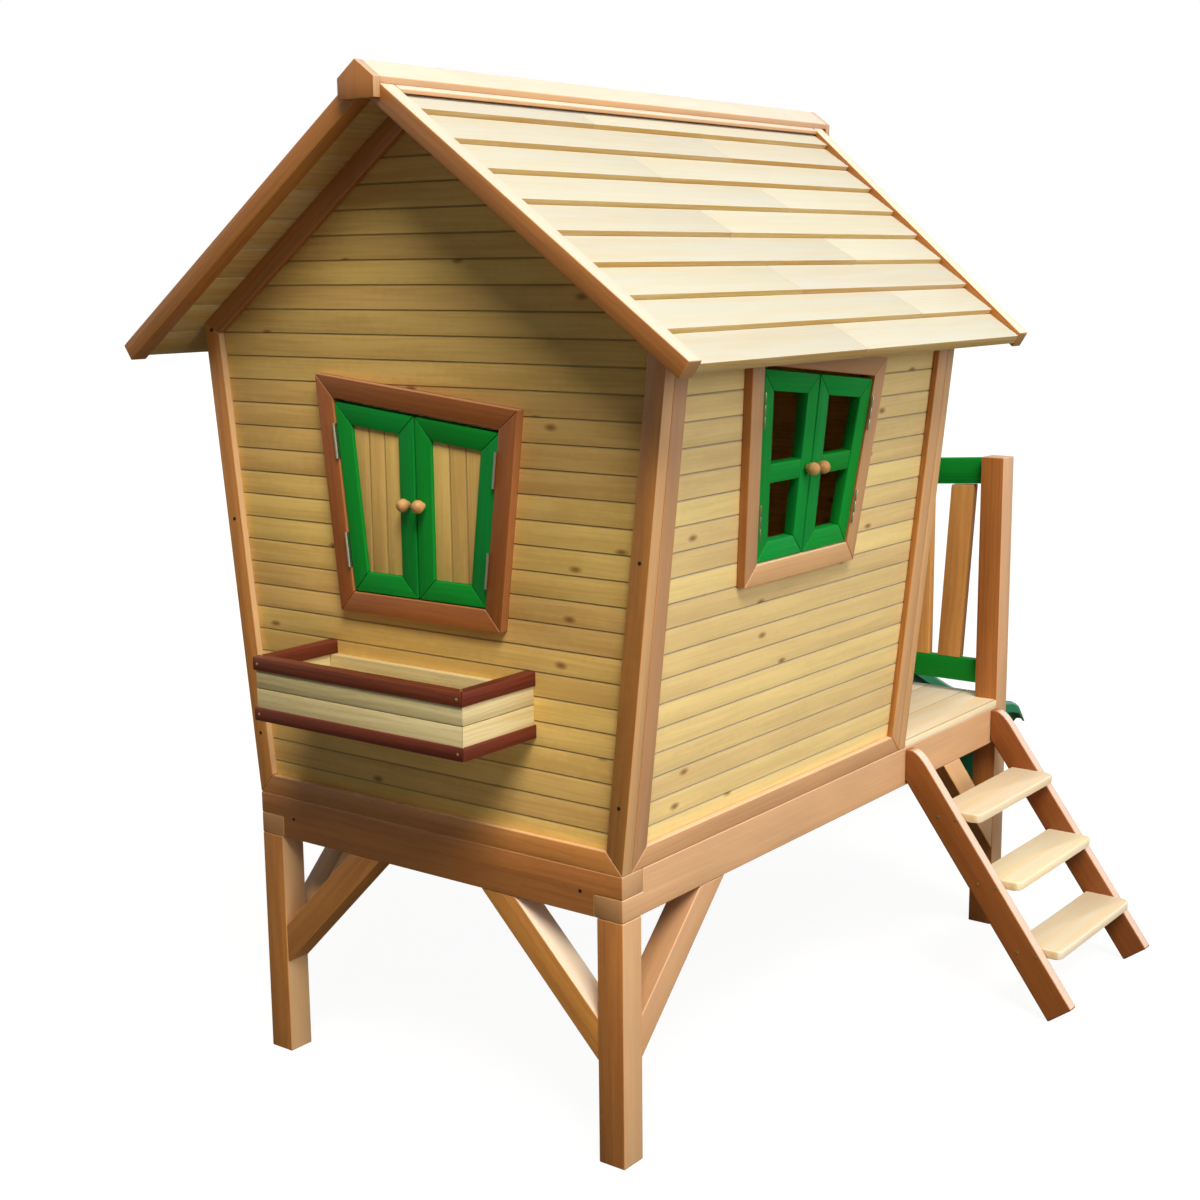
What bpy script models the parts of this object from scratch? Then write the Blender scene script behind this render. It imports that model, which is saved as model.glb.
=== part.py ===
"""Crooked timber playhouse on legs, with a porch, a ladder and a slide.

The planter gable faces -Y, the casement wall faces +X and the porch is at +Y.
All sizes are metres. The house is drawn with x = 0 on the ridge, y = 0 on the
outer face of the planter gable and z = 0 on the ground, and is then moved so
that the origin is under the middle of its bounding box.
"""
import math

import bmesh
import bpy
from mathutils import Matrix, Vector

# Driving dimensions
PLATFORM_W = 0.885
PLATFORM_L = 1.517
HOUSE_L = 1.012
GAP = 0.0003
OVERCUT = 0.010
OVERLAP = 0.001

POST = 0.055
POST_TOP = 1.109
BEAM_BOTTOM = 0.450
BEAM_H = 0.083
BEAM_T = 0.060
BRACE = 0.055
BRACE_REACH = 0.261
BRACE_SETBACK = 0.001
DECK_T = 0.015
DECK_BOARD = 0.098

WALL_LEAN = math.radians(6.27)
BOARD_T = 0.015
BOARD_FACE = 0.0437
BOARD_FIRST = 0.0218
GROOVE = 0.0018
BATTEN_T = 0.0127
BATTEN_W = 0.038
SIDE_HEAD_W = 0.021

ROOF_PITCH = math.radians(35.6)
ROOF_UNDERSIDE = 1.834
EAVE_X = 0.653
NEAR_VERGE = -0.106
FAR_VERGE_RIDGE = 1.340
FAR_VERGE_EAVE = 1.095
COURSES = 9
COURSE_BUTT = 0.026
COURSE_HEAD = 0.016
EAVE_LIFT = 0.007
BARGE_T = 0.035
BARGE_RISE = 0.032
BARGE_DROP = 0.002
GABLE_CLEAR = 0.0005
SIDE_CLEAR = 0.002
RIDGE_CAP = 0.014
RIDGE_HALF = 0.0415
RIDGE_STRIP_HALF = 0.058
RIDGE_BLOCK_T = 0.016
RIDGE_BLOCK_H = 0.064

WINDOW_SILL_HALF = 0.159
WINDOW_HEAD_HALF = 0.197
WINDOW_LEFT_H = 0.354
WINDOW_RIGHT_H = 0.314
SURROUND_W = 0.038
SURROUND_PROUD = 0.004
GABLE_WINDOW = (-0.004, 0.962)
SIDE_WINDOW = (0.486, 1.0266)
LEAF_RECESS = 0.003
LEAF_JAMB_GAP = 0.0015
LEAF_SILL_GAP = 0.002
LEAF_HEAD_GAP = 0.0064
LEAF_MEETING_GAP = 0.0018
SHUTTER_T = 0.022
SHUTTER_STILE = 0.037
PANEL_T = 0.010
CASEMENT_T = 0.022
CASEMENT_STILE = 0.036
CROSS_RAIL = (0.143, 0.178)
KNOB_R = 0.0125
KNOB_L = 0.027
KNOB_INSET = 0.018
SHUTTER_KNOB_RISE = 0.171
SHUTTER_BOARDS = 3
HINGE_PROUD = 0.003
HINGE_BARREL_R = 0.0026
HINGE_LEAF_W = 0.014
HINGE_LEAF_T = 0.0009
HINGE_L = 0.064
HINGE_SIDES = 14
HINGE_STATIONS = (0.22, 0.78)

DOOR_X = -0.105
DOOR_SILL_HALF = 0.205
DOOR_HEAD_HALF = 0.215
DOOR_LEFT_H = 0.760
DOOR_RIGHT_H = 0.715

PLANTER_HALF = 0.247
PLANTER_DEPTH = 0.174
PLANTER_BOTTOM = 0.743
PLANTER_TOP = 0.861
PLANTER_WALL = 0.015
TRIM_H = 0.025
TRIM_W = 0.024
TRIM_LIP = 0.004

LADDER_Y = (1.014, 1.460)
STRINGER_T = 0.028
STRINGER_W = 0.062
LADDER_PITCH = math.radians(53.8)
LADDER_TOP = 0.529
LADDER_HEEL = 0.067
LADDER_SHOULDER = 0.030
TREADS = 3
TREAD_T = 0.019
TREAD_DEPTH = 0.104
TREAD_FIRST = (0.603, 0.404)
TREAD_STEP = (0.0945, -0.130)
TREAD_CORNER = 0.018

RAIL_T = 0.022
RAIL_Y = 1.478
RAIL_LOW = (0.577, 0.632)
RAIL_HIGH = (1.040, 1.100)
RAIL_SKEW = 0.012
NEWEL_X = (0.060, 0.115)
UPRIGHT_X = (0.203, 0.258)
BALUSTER_X = 0.281
BALUSTER_W = 0.057
LEFT_BALUSTERS = 3
BALUSTER_LEAN = 0.026

SLIDE_X = -0.172
SLIDE_RUN = 1.05
SLIDE_EXIT = 0.190
SLIDE_ROUND = (0.12, 0.75)
SLIDE_WALL = 0.006
SLIDE_HALF = 0.130
SLIDE_TURNS = (0.22, 0.60)
SLIDE_FLANGE_RISE = 0.020
SLIDE_SHOE = (0.030, 0.004)
SLIDE_STATIONS = 32

HALF_W = PLATFORM_W / 2
BEAM_TOP = BEAM_BOTTOM + BEAM_H
DECK_TOP = BEAM_TOP + GAP + DECK_T
LAP = BEAM_BOTTOM + BEAM_H / 2
PANEL_DEPTH = BATTEN_T + GAP + BOARD_T
SLOPE = math.tan(ROOF_PITCH)
LEAN = math.tan(WALL_LEAN)
SLOPE_L = (EAVE_X - BARGE_RISE * math.sin(ROOF_PITCH)) / math.cos(ROOF_PITCH)

STAIN = ("stained_pine", (0.38, 0.123, 0.042), 0.55, 0.0)
NATURAL = ("clear_stained_spruce", (0.69, 0.48, 0.155), 0.6, 0.0)
ROOFING = ("pale_spruce_roof_boards", (0.93, 0.80, 0.53), 0.6, 0.0)
GREEN = ("green_paint", (0.004, 0.25, 0.026), 0.4, 0.0)
BEECH = ("turned_beech", (0.69, 0.38, 0.147), 0.45, 0.0)
TRIM = ("dark_red_stain", (0.155, 0.024, 0.0085), 0.5, 0.0)
ZINC = ("zinc_plate", (0.55, 0.54, 0.50), 0.35, 1.0)
HDPE = ("moulded_hdpe", (0.0048, 0.147, 0.061), 0.35, 0.0)


def clear_scene():
    """Remove every object that the file opened with."""
    for item in list(bpy.data.objects):
        bpy.data.objects.remove(item, do_unlink=True)


def new_collection(name):
    group = bpy.data.collections.new(name)
    bpy.context.scene.collection.children.link(group)
    return group


clear_scene()
PARTS = new_collection("crooked_playhouse")
CUTTERS = new_collection("cutters")
ROOT = bpy.data.objects.new("playhouse_origin", None)
PARTS.objects.link(ROOT)


def finish_material(finish):
    """The Principled material of one finish, made once."""
    name, colour, roughness, metallic = finish
    found = bpy.data.materials.get(name)
    if found:
        return found
    made = bpy.data.materials.new(name)
    made.use_nodes = True
    shader = made.node_tree.nodes["Principled BSDF"]
    shader.inputs["Base Color"].default_value = (*colour, 1.0)
    shader.inputs["Roughness"].default_value = roughness
    shader.inputs["Metallic"].default_value = metallic
    return made


def add_part(name, bm, finish, origin=Vector()):
    """Turn a bmesh into a named sub-part whose origin is at a given point."""
    bmesh.ops.recalc_face_normals(bm, faces=bm.faces)
    if bm.calc_volume(signed=True) < 0:
        bmesh.ops.reverse_faces(bm, faces=bm.faces)
    mesh = bpy.data.meshes.new(name)
    bm.to_mesh(mesh)
    bm.free()
    mesh.transform(Matrix.Translation(-origin))
    part = bpy.data.objects.new(name, mesh)
    part.location = origin
    part.parent = ROOT
    mesh.materials.append(finish_material(finish))
    PARTS.objects.link(part)
    return part


def add_cutter(name, bm, origin=Vector()):
    """A helper solid that a Boolean reads and the part leaves out."""
    cutter = add_part(name, bm, STAIN, origin)
    PARTS.objects.unlink(cutter)
    CUTTERS.objects.link(cutter)
    cutter.hide_render = True
    cutter.display_type = "WIRE"
    return cutter


def boolean(part, cutter, operation):
    mod = part.modifiers.new(operation.lower(), "BOOLEAN")
    mod.operation = operation
    mod.object = cutter


def frame(origin, across, up):
    """Axes of a flat piece: across, up and outwards."""
    across, up = Vector(across), Vector(up)
    out = across.cross(up)
    place = Matrix((across, up, out)).transposed().to_4x4()
    place.translation = origin
    return place


def outline_solid(outlines, low, high, place):
    """Extrude flat outlines, of which the inner ones are holes, from low to high along the normal."""
    curve = bpy.data.curves.new("outline", "CURVE")
    curve.dimensions = "2D"
    curve.fill_mode = "BOTH"
    curve.extrude = (high - low) / 2
    for points in outlines:
        spline = curve.splines.new("POLY")
        spline.points.add(len(points) - 1)
        spline.use_cyclic_u = True
        for knot, (a, b) in zip(spline.points, points):
            knot.co = (a, b, 0.0, 1.0)
    holder = bpy.data.objects.new("outline", curve)
    bpy.context.scene.collection.objects.link(holder)
    graph = bpy.context.evaluated_depsgraph_get()
    mesh = bpy.data.meshes.new_from_object(holder.evaluated_get(graph))
    bpy.data.objects.remove(holder)
    bm = bmesh.new()
    bm.from_mesh(mesh)
    bpy.data.meshes.remove(mesh)
    bmesh.ops.remove_doubles(bm, verts=bm.verts, dist=0.00001)
    lift = Matrix.Translation((0.0, 0.0, (low + high) / 2))
    bmesh.ops.transform(bm, matrix=place @ lift, verts=bm.verts)
    return bm


def plate(name, outlines, low, high, place, finish, origin=Vector()):
    return add_part(name, outline_solid(outlines, low, high, place), finish, origin)


def block_mesh(corner):
    """A cube whose eight corners are placed by a function of their signs."""
    bm = bmesh.new()
    bmesh.ops.create_cube(bm, size=2.0)
    for vert in bm.verts:
        vert.co = corner(*(round(c) for c in vert.co))
    return bm


def box_mesh(low, high):
    return block_mesh(lambda *signs: Vector(b if s > 0 else a for a, b, s in zip(low, high, signs)))


def box(name, low, high, finish):
    return add_part(name, box_mesh(low, high), finish)


def inset(points, widths):
    """Move each edge of a counter-clockwise outline inwards by its own width."""
    count = len(points)
    lines = []
    for i, width in enumerate(widths):
        a, b = Vector(points[i]), Vector(points[(i + 1) % count])
        run = (b - a).normalized()
        lines.append((a + Vector((-run.y, run.x)) * width, run))
    corners = []
    for i in range(count):
        (p, r), (q, s) = lines[i - 1], lines[i]
        cross = r.x * s.y - r.y * s.x
        step = ((q.x - p.x) * s.y - (q.y - p.y) * s.x) / cross
        corners.append(tuple(p + r * step))
    return corners


def even_inset(points, width):
    return inset(points, [width] * len(points))


def side_points(quad, height):
    """The points of a quad's left and right edges at one height."""
    low_left, low_right, high_right, high_left = (Vector(p) for p in quad)
    left = low_left.lerp(high_left, (height - low_left.y) / (high_left.y - low_left.y))
    right = low_right.lerp(high_right, (height - low_right.y) / (high_right.y - low_right.y))
    return tuple(left), tuple(right)


def grooved_boards(name, outlines, pitch, low, high, place, finish, first=None):
    """Tongue-and-groove boards, the lowest ripped to first, trimmed to an outline with holes."""
    reach = [point for points in outlines for point in points]
    left = min(p[0] for p in reach) - OVERCUT
    right = max(p[0] for p in reach) + OVERCUT
    bottom = min(p[1] for p in reach)
    top = max(p[1] for p in reach) + OVERCUT
    behind, below = low - OVERCUT, bottom - OVERCUT
    profile = [(behind, top), (behind, below), (high, below)]
    start = bottom + (first or pitch)
    for i in range(math.ceil((top - start) / pitch)):
        joint = start + i * pitch
        profile += [(high, joint - GROOVE), (high - GROOVE, joint), (high, joint + GROOVE)]
    profile.append((high, top))
    turn = Matrix(((0, 0, -1, 0), (0, 1, 0, 0), (1, 0, 0, 0), (0, 0, 0, 1)))
    stack = plate(name, [profile], -right, -left, place @ turn, finish)
    trim = add_cutter(name + "_trim", outline_solid(outlines, low, high + OVERCUT, place))
    boolean(stack, trim, "INTERSECT")
    return stack


def sweep_mesh(section, stations):
    """Skin a closed section along a run of placed stations and cap both ends."""
    bm = bmesh.new()
    rings = [[bm.verts.new(place @ Vector((a, b, 0.0))) for a, b in section] for place in stations]
    for ring, after in zip(rings, rings[1:]):
        for i in range(len(section)):
            bm.faces.new((ring[i - 1], ring[i], after[i], after[i - 1]))
    bm.faces.new(rings[0])
    bm.faces.new(rings[-1])
    return bm


# Axes of the four walls and of plain upright and level pieces
UP = (0, 0, 1)
GABLE = frame((0, 0, 0), (1, 0, 0), UP)
FRONT = frame((0, HOUSE_L, 0), (-1, 0, 0), UP)
LEAN_UP = (math.sin(WALL_LEAN), 0, math.cos(WALL_LEAN))
RIGHT = frame((HALF_W, 0, BEAM_TOP), (0, 1, 0), LEAN_UP)
LEFT = frame((-HALF_W, HOUSE_L, BEAM_TOP), (0, -1, 0), (-LEAN_UP[0], 0, LEAN_UP[2]))
LEVEL = frame((0, 0, 0), (1, 0, 0), (0, 1, 0))
ALONG = frame((0, 0, 0), (0, 1, 0), UP)


def roof_under(x):
    return ROOF_UNDERSIDE - SLOPE * abs(x)


def wall_edge(z):
    return HALF_W + LEAN * (z - BEAM_TOP)


def make_legs_and_beams():
    """Square legs, and beams that are half-lapped over the planter-gable legs."""
    inner = HALF_W - POST
    for side, sign in (("left", -1), ("right", 1)):
        xs = sorted((sign * inner, sign * HALF_W))
        box(f"leg_back_{side}", (xs[0], 0, 0), (xs[1], POST, BEAM_BOTTOM - GAP), STAIN)
        box(f"porch_post_{side}", (xs[0], PLATFORM_L - POST, 0), (xs[1], PLATFORM_L, POST_TOP), STAIN)
        far = PLATFORM_L - POST - GAP
        lapped = [(0, BEAM_BOTTOM), (far, BEAM_BOTTOM), (far, BEAM_TOP), (BEAM_T + GAP, BEAM_TOP),
                  (BEAM_T + GAP, LAP - GAP), (0, LAP - GAP)]
        edges = sorted((sign * HALF_W, sign * (HALF_W - BEAM_T)))
        plate(f"side_beam_{side}", [lapped], edges[0], edges[1], ALONG, STAIN)
    shoulder = HALF_W - BEAM_T - GAP
    lapped = [(-shoulder, BEAM_BOTTOM), (shoulder, BEAM_BOTTOM), (shoulder, LAP), (HALF_W, LAP),
              (HALF_W, BEAM_TOP), (-HALF_W, BEAM_TOP), (-HALF_W, LAP), (-shoulder, LAP)]
    plate("gable_beam", [lapped], -BEAM_T, 0, GABLE, STAIN)
    between = inner - GAP
    behind = PLATFORM_L - POST + GAP
    box("front_beam", (-between, behind, BEAM_BOTTOM), (between, PLATFORM_L, BEAM_TOP), STAIN)
    middle = HOUSE_L - BEAM_T / 2
    box("middle_joist", (-shoulder, middle, BEAM_BOTTOM), (shoulder, middle + BEAM_T, BEAM_TOP), STAIN)


def make_braces():
    """Knee braces at 45 degrees between the legs and the beams."""
    height = BEAM_BOTTOM - GAP
    width = BRACE * math.sqrt(2)
    foot = POST + GAP
    knee = [(foot, height - BRACE_REACH), (foot, height - BRACE_REACH + width),
            (foot + BRACE_REACH - width, height), (foot + BRACE_REACH, height)]
    for side, sign in (("left", -1), ("right", 1)):
        across = [(sign * (HALF_W - a), b) for a, b in knee]
        plate(f"gable_brace_{side}", [across], -BRACE, -BRACE_SETBACK, GABLE, STAIN)
        edges = sorted((sign * (HALF_W - BRACE_SETBACK), sign * (HALF_W - BRACE)))
        plate(f"side_brace_{side}", [knee], edges[0], edges[1], ALONG, STAIN)
        porch = [(PLATFORM_L - a, b) for a, b in knee]
        plate(f"porch_brace_{side}", [porch], edges[0], edges[1], ALONG, STAIN)


def make_floors():
    """Boarded house floor inside the walls, and the porch deck notched round its posts."""
    edge = HALF_W - PANEL_DEPTH / math.cos(WALL_LEAN) - OVERLAP
    near, far = PANEL_DEPTH + GAP, HOUSE_L - PANEL_DEPTH - GAP
    turned = frame((0, 0, 0), (0, -1, 0), (1, 0, 0))
    house = [(-far, -edge), (-near, -edge), (-near, edge), (-far, edge)]
    low, high = BEAM_TOP + GAP, DECK_TOP
    grooved_boards("house_floor", [house], DECK_BOARD, low, high, turned, NATURAL)
    post_x, post_y = HALF_W - POST - GAP, PLATFORM_L - POST - GAP
    house_front = HOUSE_L + GAP
    deck = [(-PLATFORM_L, -post_x), (-post_y, -post_x), (-post_y, -HALF_W), (-house_front, -HALF_W),
            (-house_front, HALF_W), (-post_y, HALF_W), (-post_y, post_x), (-PLATFORM_L, post_x)]
    grooved_boards("porch_deck", [deck], DECK_BOARD, low, high, turned, NATURAL)


def gable_outline(margin=0.0):
    """House-shaped gable that widens upwards, counter-clockwise from bottom left."""
    ridge = ROOF_UNDERSIDE - GABLE_CLEAR
    eave = (ridge - SLOPE * (HALF_W - LEAN * BEAM_TOP)) / (1 + SLOPE * LEAN)
    base = BEAM_TOP + GAP
    shape = [(-wall_edge(base), base), (wall_edge(base), base), (wall_edge(eave), eave),
             (0.0, ridge), (-wall_edge(eave), eave)]
    return even_inset(shape, margin)


def side_outline(width=0.0, head=0.0):
    """Side wall between the gables, measured up its own lean, less its battens' widths."""
    near, far = PANEL_DEPTH + GAP, HOUSE_L - PANEL_DEPTH - GAP
    eave = gable_outline()[2][1] - SIDE_CLEAR
    rise = (eave - BEAM_TOP) / math.cos(WALL_LEAN)
    return inset([(near, GAP), (far, GAP), (far, rise), (near, rise)], [width, width, head, width])


def window_opening(middle, sill):
    """Crooked opening: wider at its head, which drops to the right."""
    return [(middle - WINDOW_SILL_HALF, sill), (middle + WINDOW_SILL_HALF, sill),
            (middle + WINDOW_HEAD_HALF, sill + WINDOW_RIGHT_H),
            (middle - WINDOW_HEAD_HALF, sill + WINDOW_LEFT_H)]


def door_opening():
    base = BEAM_TOP + GAP
    middle = -DOOR_X
    return [(middle - DOOR_SILL_HALF, base), (middle + DOOR_SILL_HALF, base),
            (middle + DOOR_HEAD_HALF, base + DOOR_RIGHT_H), (middle - DOOR_HEAD_HALF, base + DOOR_LEFT_H)]


def side_sill():
    return (SIDE_WINDOW[1] - BEAM_TOP) / math.cos(WALL_LEAN)


def make_walls():
    """Boarded walls, each behind a mitred batten frame, with the door cased in its frame."""
    back, face = -PANEL_DEPTH, -BATTEN_T - GAP
    gable_hole = even_inset(window_opening(*GABLE_WINDOW), -SURROUND_W - GAP)
    side_hole = even_inset(window_opening(SIDE_WINDOW[0], side_sill()), -SURROUND_W - GAP)
    whole, inner = gable_outline(), gable_outline(BATTEN_W)
    grooved_boards("gable_boards", [whole, gable_hole], BOARD_FACE, back, face, GABLE, NATURAL,
                   BOARD_FIRST)
    plate("gable_battens", [whole, inner], -BATTEN_T, 0, GABLE, STAIN)
    low_left, low_right, high_right, high_left = door_opening()
    doorway = [low_right, high_right, high_left, low_left]
    boards = [whole[0]] + doorway[::-1] + whole[1:]
    grooved_boards("front_boards", [boards], BOARD_FACE, back, face, FRONT, NATURAL,
                   BOARD_FIRST)
    casing = inset(door_opening(), [0, -BATTEN_W, -BATTEN_W, -BATTEN_W])
    base_left, base_right = side_points(casing, inner[0][1])
    field = [base_left, casing[3], casing[2], base_right, *inner[1:], inner[0]]
    plate("front_battens", [boards, field], -BATTEN_T, 0, FRONT, STAIN)
    plain = side_outline()
    grooved_boards("right_boards", [plain, side_hole], BOARD_FACE, back, face, RIGHT, NATURAL,
                   BOARD_FIRST)
    field = side_outline(BATTEN_W, SIDE_HEAD_W)
    plate("right_battens", [plain, field], -BATTEN_T, 0, RIGHT, STAIN)
    mirrored = [(HOUSE_L - a, b) for a, b in plain[::-1]]
    framed = [(HOUSE_L - a, b) for a, b in field[::-1]]
    grooved_boards("left_boards", [mirrored], BOARD_FACE, back, face, LEFT, NATURAL,
                   BOARD_FIRST)
    plate("left_battens", [mirrored, framed], -BATTEN_T, 0, LEFT, STAIN)


def leaf_outlines(opening, meeting):
    """Left and right leaves of one opening, drawn counter-clockwise from bottom left."""
    low_left, low_right, high_right, high_left = (Vector(p) for p in opening)
    foot = (meeting, low_left.y)
    share = (meeting - high_left.x) / (high_right.x - high_left.x)
    head = tuple(high_left.lerp(high_right, share))
    jamb, sill, middle, top = LEAF_JAMB_GAP, LEAF_SILL_GAP, LEAF_MEETING_GAP, LEAF_HEAD_GAP
    left = inset([opening[0], foot, head, opening[3]], [sill, middle, top, jamb])
    right = inset([foot, opening[1], opening[2], head], [sill, jamb, top, middle])
    return left, right


def make_knob(name, point, place, origin):
    """Turned knob: a waist under a round head, spun about its own stem."""
    profile = [(0.0, KNOB_L)]
    for step in range(1, 9):
        turn = math.radians(step * 17.5)
        profile.append((KNOB_R * math.sin(turn), KNOB_L - KNOB_R * (1 - math.cos(turn))))
    profile += [(KNOB_R * 0.5, KNOB_L * 0.16), (KNOB_R * 0.72, 0.0), (0.0, 0.0)]
    bm = bmesh.new()
    verts = [bm.verts.new((radius, 0.0, height)) for radius, height in profile]
    for a, b in zip(verts, verts[1:]):
        bm.edges.new((a, b))
    bmesh.ops.spin(bm, geom=bm.verts[:] + bm.edges[:], cent=(0, 0, 0), axis=(0, 0, 1),
                   angle=math.tau, steps=16, use_duplicate=False)
    bmesh.ops.remove_doubles(bm, verts=bm.verts, dist=0.00001)
    spot = place @ Matrix.Translation(point)
    bmesh.ops.transform(bm, matrix=spot, verts=bm.verts)
    return add_part(name, bm, BEECH, origin)


def make_hinge(name, foot, head, share, place, sign):
    """Barrel and fixed flap of a butt hinge: the flap lies on the slanted jamb, in the leaf's gap."""
    out = place.to_3x3().col[2].normalized()
    axis = (head - foot).normalized()
    spot = foot.lerp(head, share)
    along = frame(spot, tuple(axis.cross(out)), tuple(out))
    lay = 1 if along.to_3x3().col[0].dot(place.to_3x3().col[0]) * sign > 0 else -1
    near, far = GAP, GAP + HINGE_LEAF_T
    start = -math.pi / 2 + math.asin(far / HINGE_BARREL_R)
    stop = math.pi * 1.5 + math.asin(near / HINGE_BARREL_R)
    profile = [(lay * far, -HINGE_LEAF_W)]
    for step in range(HINGE_SIDES + 1):
        turn = start + (stop - start) * step / HINGE_SIDES
        profile.append((lay * HINGE_BARREL_R * math.cos(turn), HINGE_BARREL_R * math.sin(turn)))
    profile.append((lay * near, -HINGE_LEAF_W))
    plate(name, [profile], -HINGE_L / 2, HINGE_L / 2, along, ZINC)


def leaf_axis(opening, place, sign):
    """Foot and head of the hinge line along one jamb, in front of the surround."""
    proud = SURROUND_PROUD + HINGE_PROUD
    foot, head = (opening[0], opening[3]) if sign > 0 else (opening[1], opening[2])
    return place @ Vector((*foot, proud)), place @ Vector((*head, proud))


def make_shutters():
    """Two crooked boarded shutters in the planter gable."""
    opening = window_opening(*GABLE_WINDOW)
    plate("gable_surround", [even_inset(opening, -SURROUND_W), opening], -PANEL_DEPTH, SURROUND_PROUD,
          GABLE, STAIN)
    face = SURROUND_PROUD - LEAF_RECESS
    leaves = leaf_outlines(opening, GABLE_WINDOW[0])
    knob_height = GABLE_WINDOW[1] + SHUTTER_KNOB_RISE
    for side, sign, leaf in (("left", 1, leaves[0]), ("right", -1, leaves[1])):
        foot, head = leaf_axis(opening, GABLE, sign)
        hole = even_inset(leaf, SHUTTER_STILE)
        plate(f"shutter_{side}_frame", [leaf, hole], face - SHUTTER_T, face, GABLE, GREEN, foot)
        panel_face = face - (SHUTTER_T - PANEL_T) / 2
        turned = GABLE @ Matrix(((0, 1, 0, 0), (-1, 0, 0, 0), (0, 0, 1, 0), (0, 0, 0, 1)))
        panel = [(-b, a) for a, b in even_inset(hole, GAP)]
        pitch = (max(p[1] for p in panel) - min(p[1] for p in panel)) / SHUTTER_BOARDS
        boards = grooved_boards(f"shutter_{side}_panel", [panel], pitch, panel_face - PANEL_T, panel_face,
                                turned, NATURAL)
        move_origin(boards, foot)
        middle = GABLE_WINDOW[0] - sign * KNOB_INSET
        make_knob(f"shutter_{side}_knob", (middle, knob_height, face + GAP), GABLE, foot)
        for level, share in zip(("lower", "upper"), HINGE_STATIONS):
            make_hinge(f"shutter_{side}_{level}_hinge", foot, head, share, GABLE, sign)


def move_origin(part, point):
    part.data.transform(Matrix.Translation(-point))
    part.location = point


def make_casements():
    """Two crooked two-light casements in the leaning wall."""
    sill = side_sill()
    opening = window_opening(SIDE_WINDOW[0], sill)
    plate("side_surround", [even_inset(opening, -SURROUND_W), opening], -PANEL_DEPTH, SURROUND_PROUD,
          RIGHT, STAIN)
    face = SURROUND_PROUD - LEAF_RECESS
    leaves = leaf_outlines(opening, SIDE_WINDOW[0])
    for side, sign, leaf in (("near", 1, leaves[0]), ("far", -1, leaves[1])):
        foot = leaf_axis(opening, RIGHT, sign)[0]
        light = even_inset(leaf, CASEMENT_STILE)
        low_left, low_right = side_points(light, sill + CROSS_RAIL[0])
        high_left, high_right = side_points(light, sill + CROSS_RAIL[1])
        lower = [light[0], light[1], low_right, low_left]
        upper = [high_left, high_right, light[2], light[3]]
        plate(f"casement_{side}_frame", [leaf, lower, upper], face - CASEMENT_T, face, RIGHT, GREEN, foot)
        middle = SIDE_WINDOW[0] - sign * KNOB_INSET
        make_knob(f"casement_{side}_knob", (middle, sill + sum(CROSS_RAIL) / 2, face + GAP), RIGHT, foot)


def make_planter():
    """Open boarded trough on the gable, with a capping trim and a plinth trim round three sides."""
    back = BATTEN_T
    front = -PLANTER_DEPTH
    rim = PLANTER_TOP - TRIM_H
    outer = [(-PLANTER_HALF, front), (PLANTER_HALF, front), (PLANTER_HALF, back), (-PLANTER_HALF, back)]
    bm = outline_solid([outer], PLANTER_BOTTOM, rim - GAP, LEVEL)
    trough = add_part("planter_trough", bm, NATURAL)
    hollow = even_inset(outer, PLANTER_WALL)
    floor = PLANTER_BOTTOM + PLANTER_WALL
    cutter = add_cutter("planter_hollow", outline_solid([hollow], floor, rim + OVERCUT, LEVEL))
    boolean(trough, cutter, "DIFFERENCE")

    def three_sides(lip, width):
        out = inset(outer, [-lip, -lip, 0, -lip])
        into = inset(out, [width, width, 0, width])
        return [out[0], out[1], out[2], into[2], into[1], into[0], into[3], out[3]]

    plate("planter_top_trim", [three_sides(TRIM_LIP, TRIM_W)], rim, PLANTER_TOP, LEVEL, TRIM)
    plinth = three_sides(TRIM_LIP + GAP, TRIM_LIP)
    plate("planter_bottom_trim", [plinth], PLANTER_BOTTOM, PLANTER_BOTTOM + TRIM_H, LEVEL, TRIM)


def far_verge(x):
    """The porch-end verge runs forward from the eaves to a prow at the ridge."""
    share = abs(x) / EAVE_X
    return FAR_VERGE_RIDGE + (FAR_VERGE_EAVE - FAR_VERGE_RIDGE) * share


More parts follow.
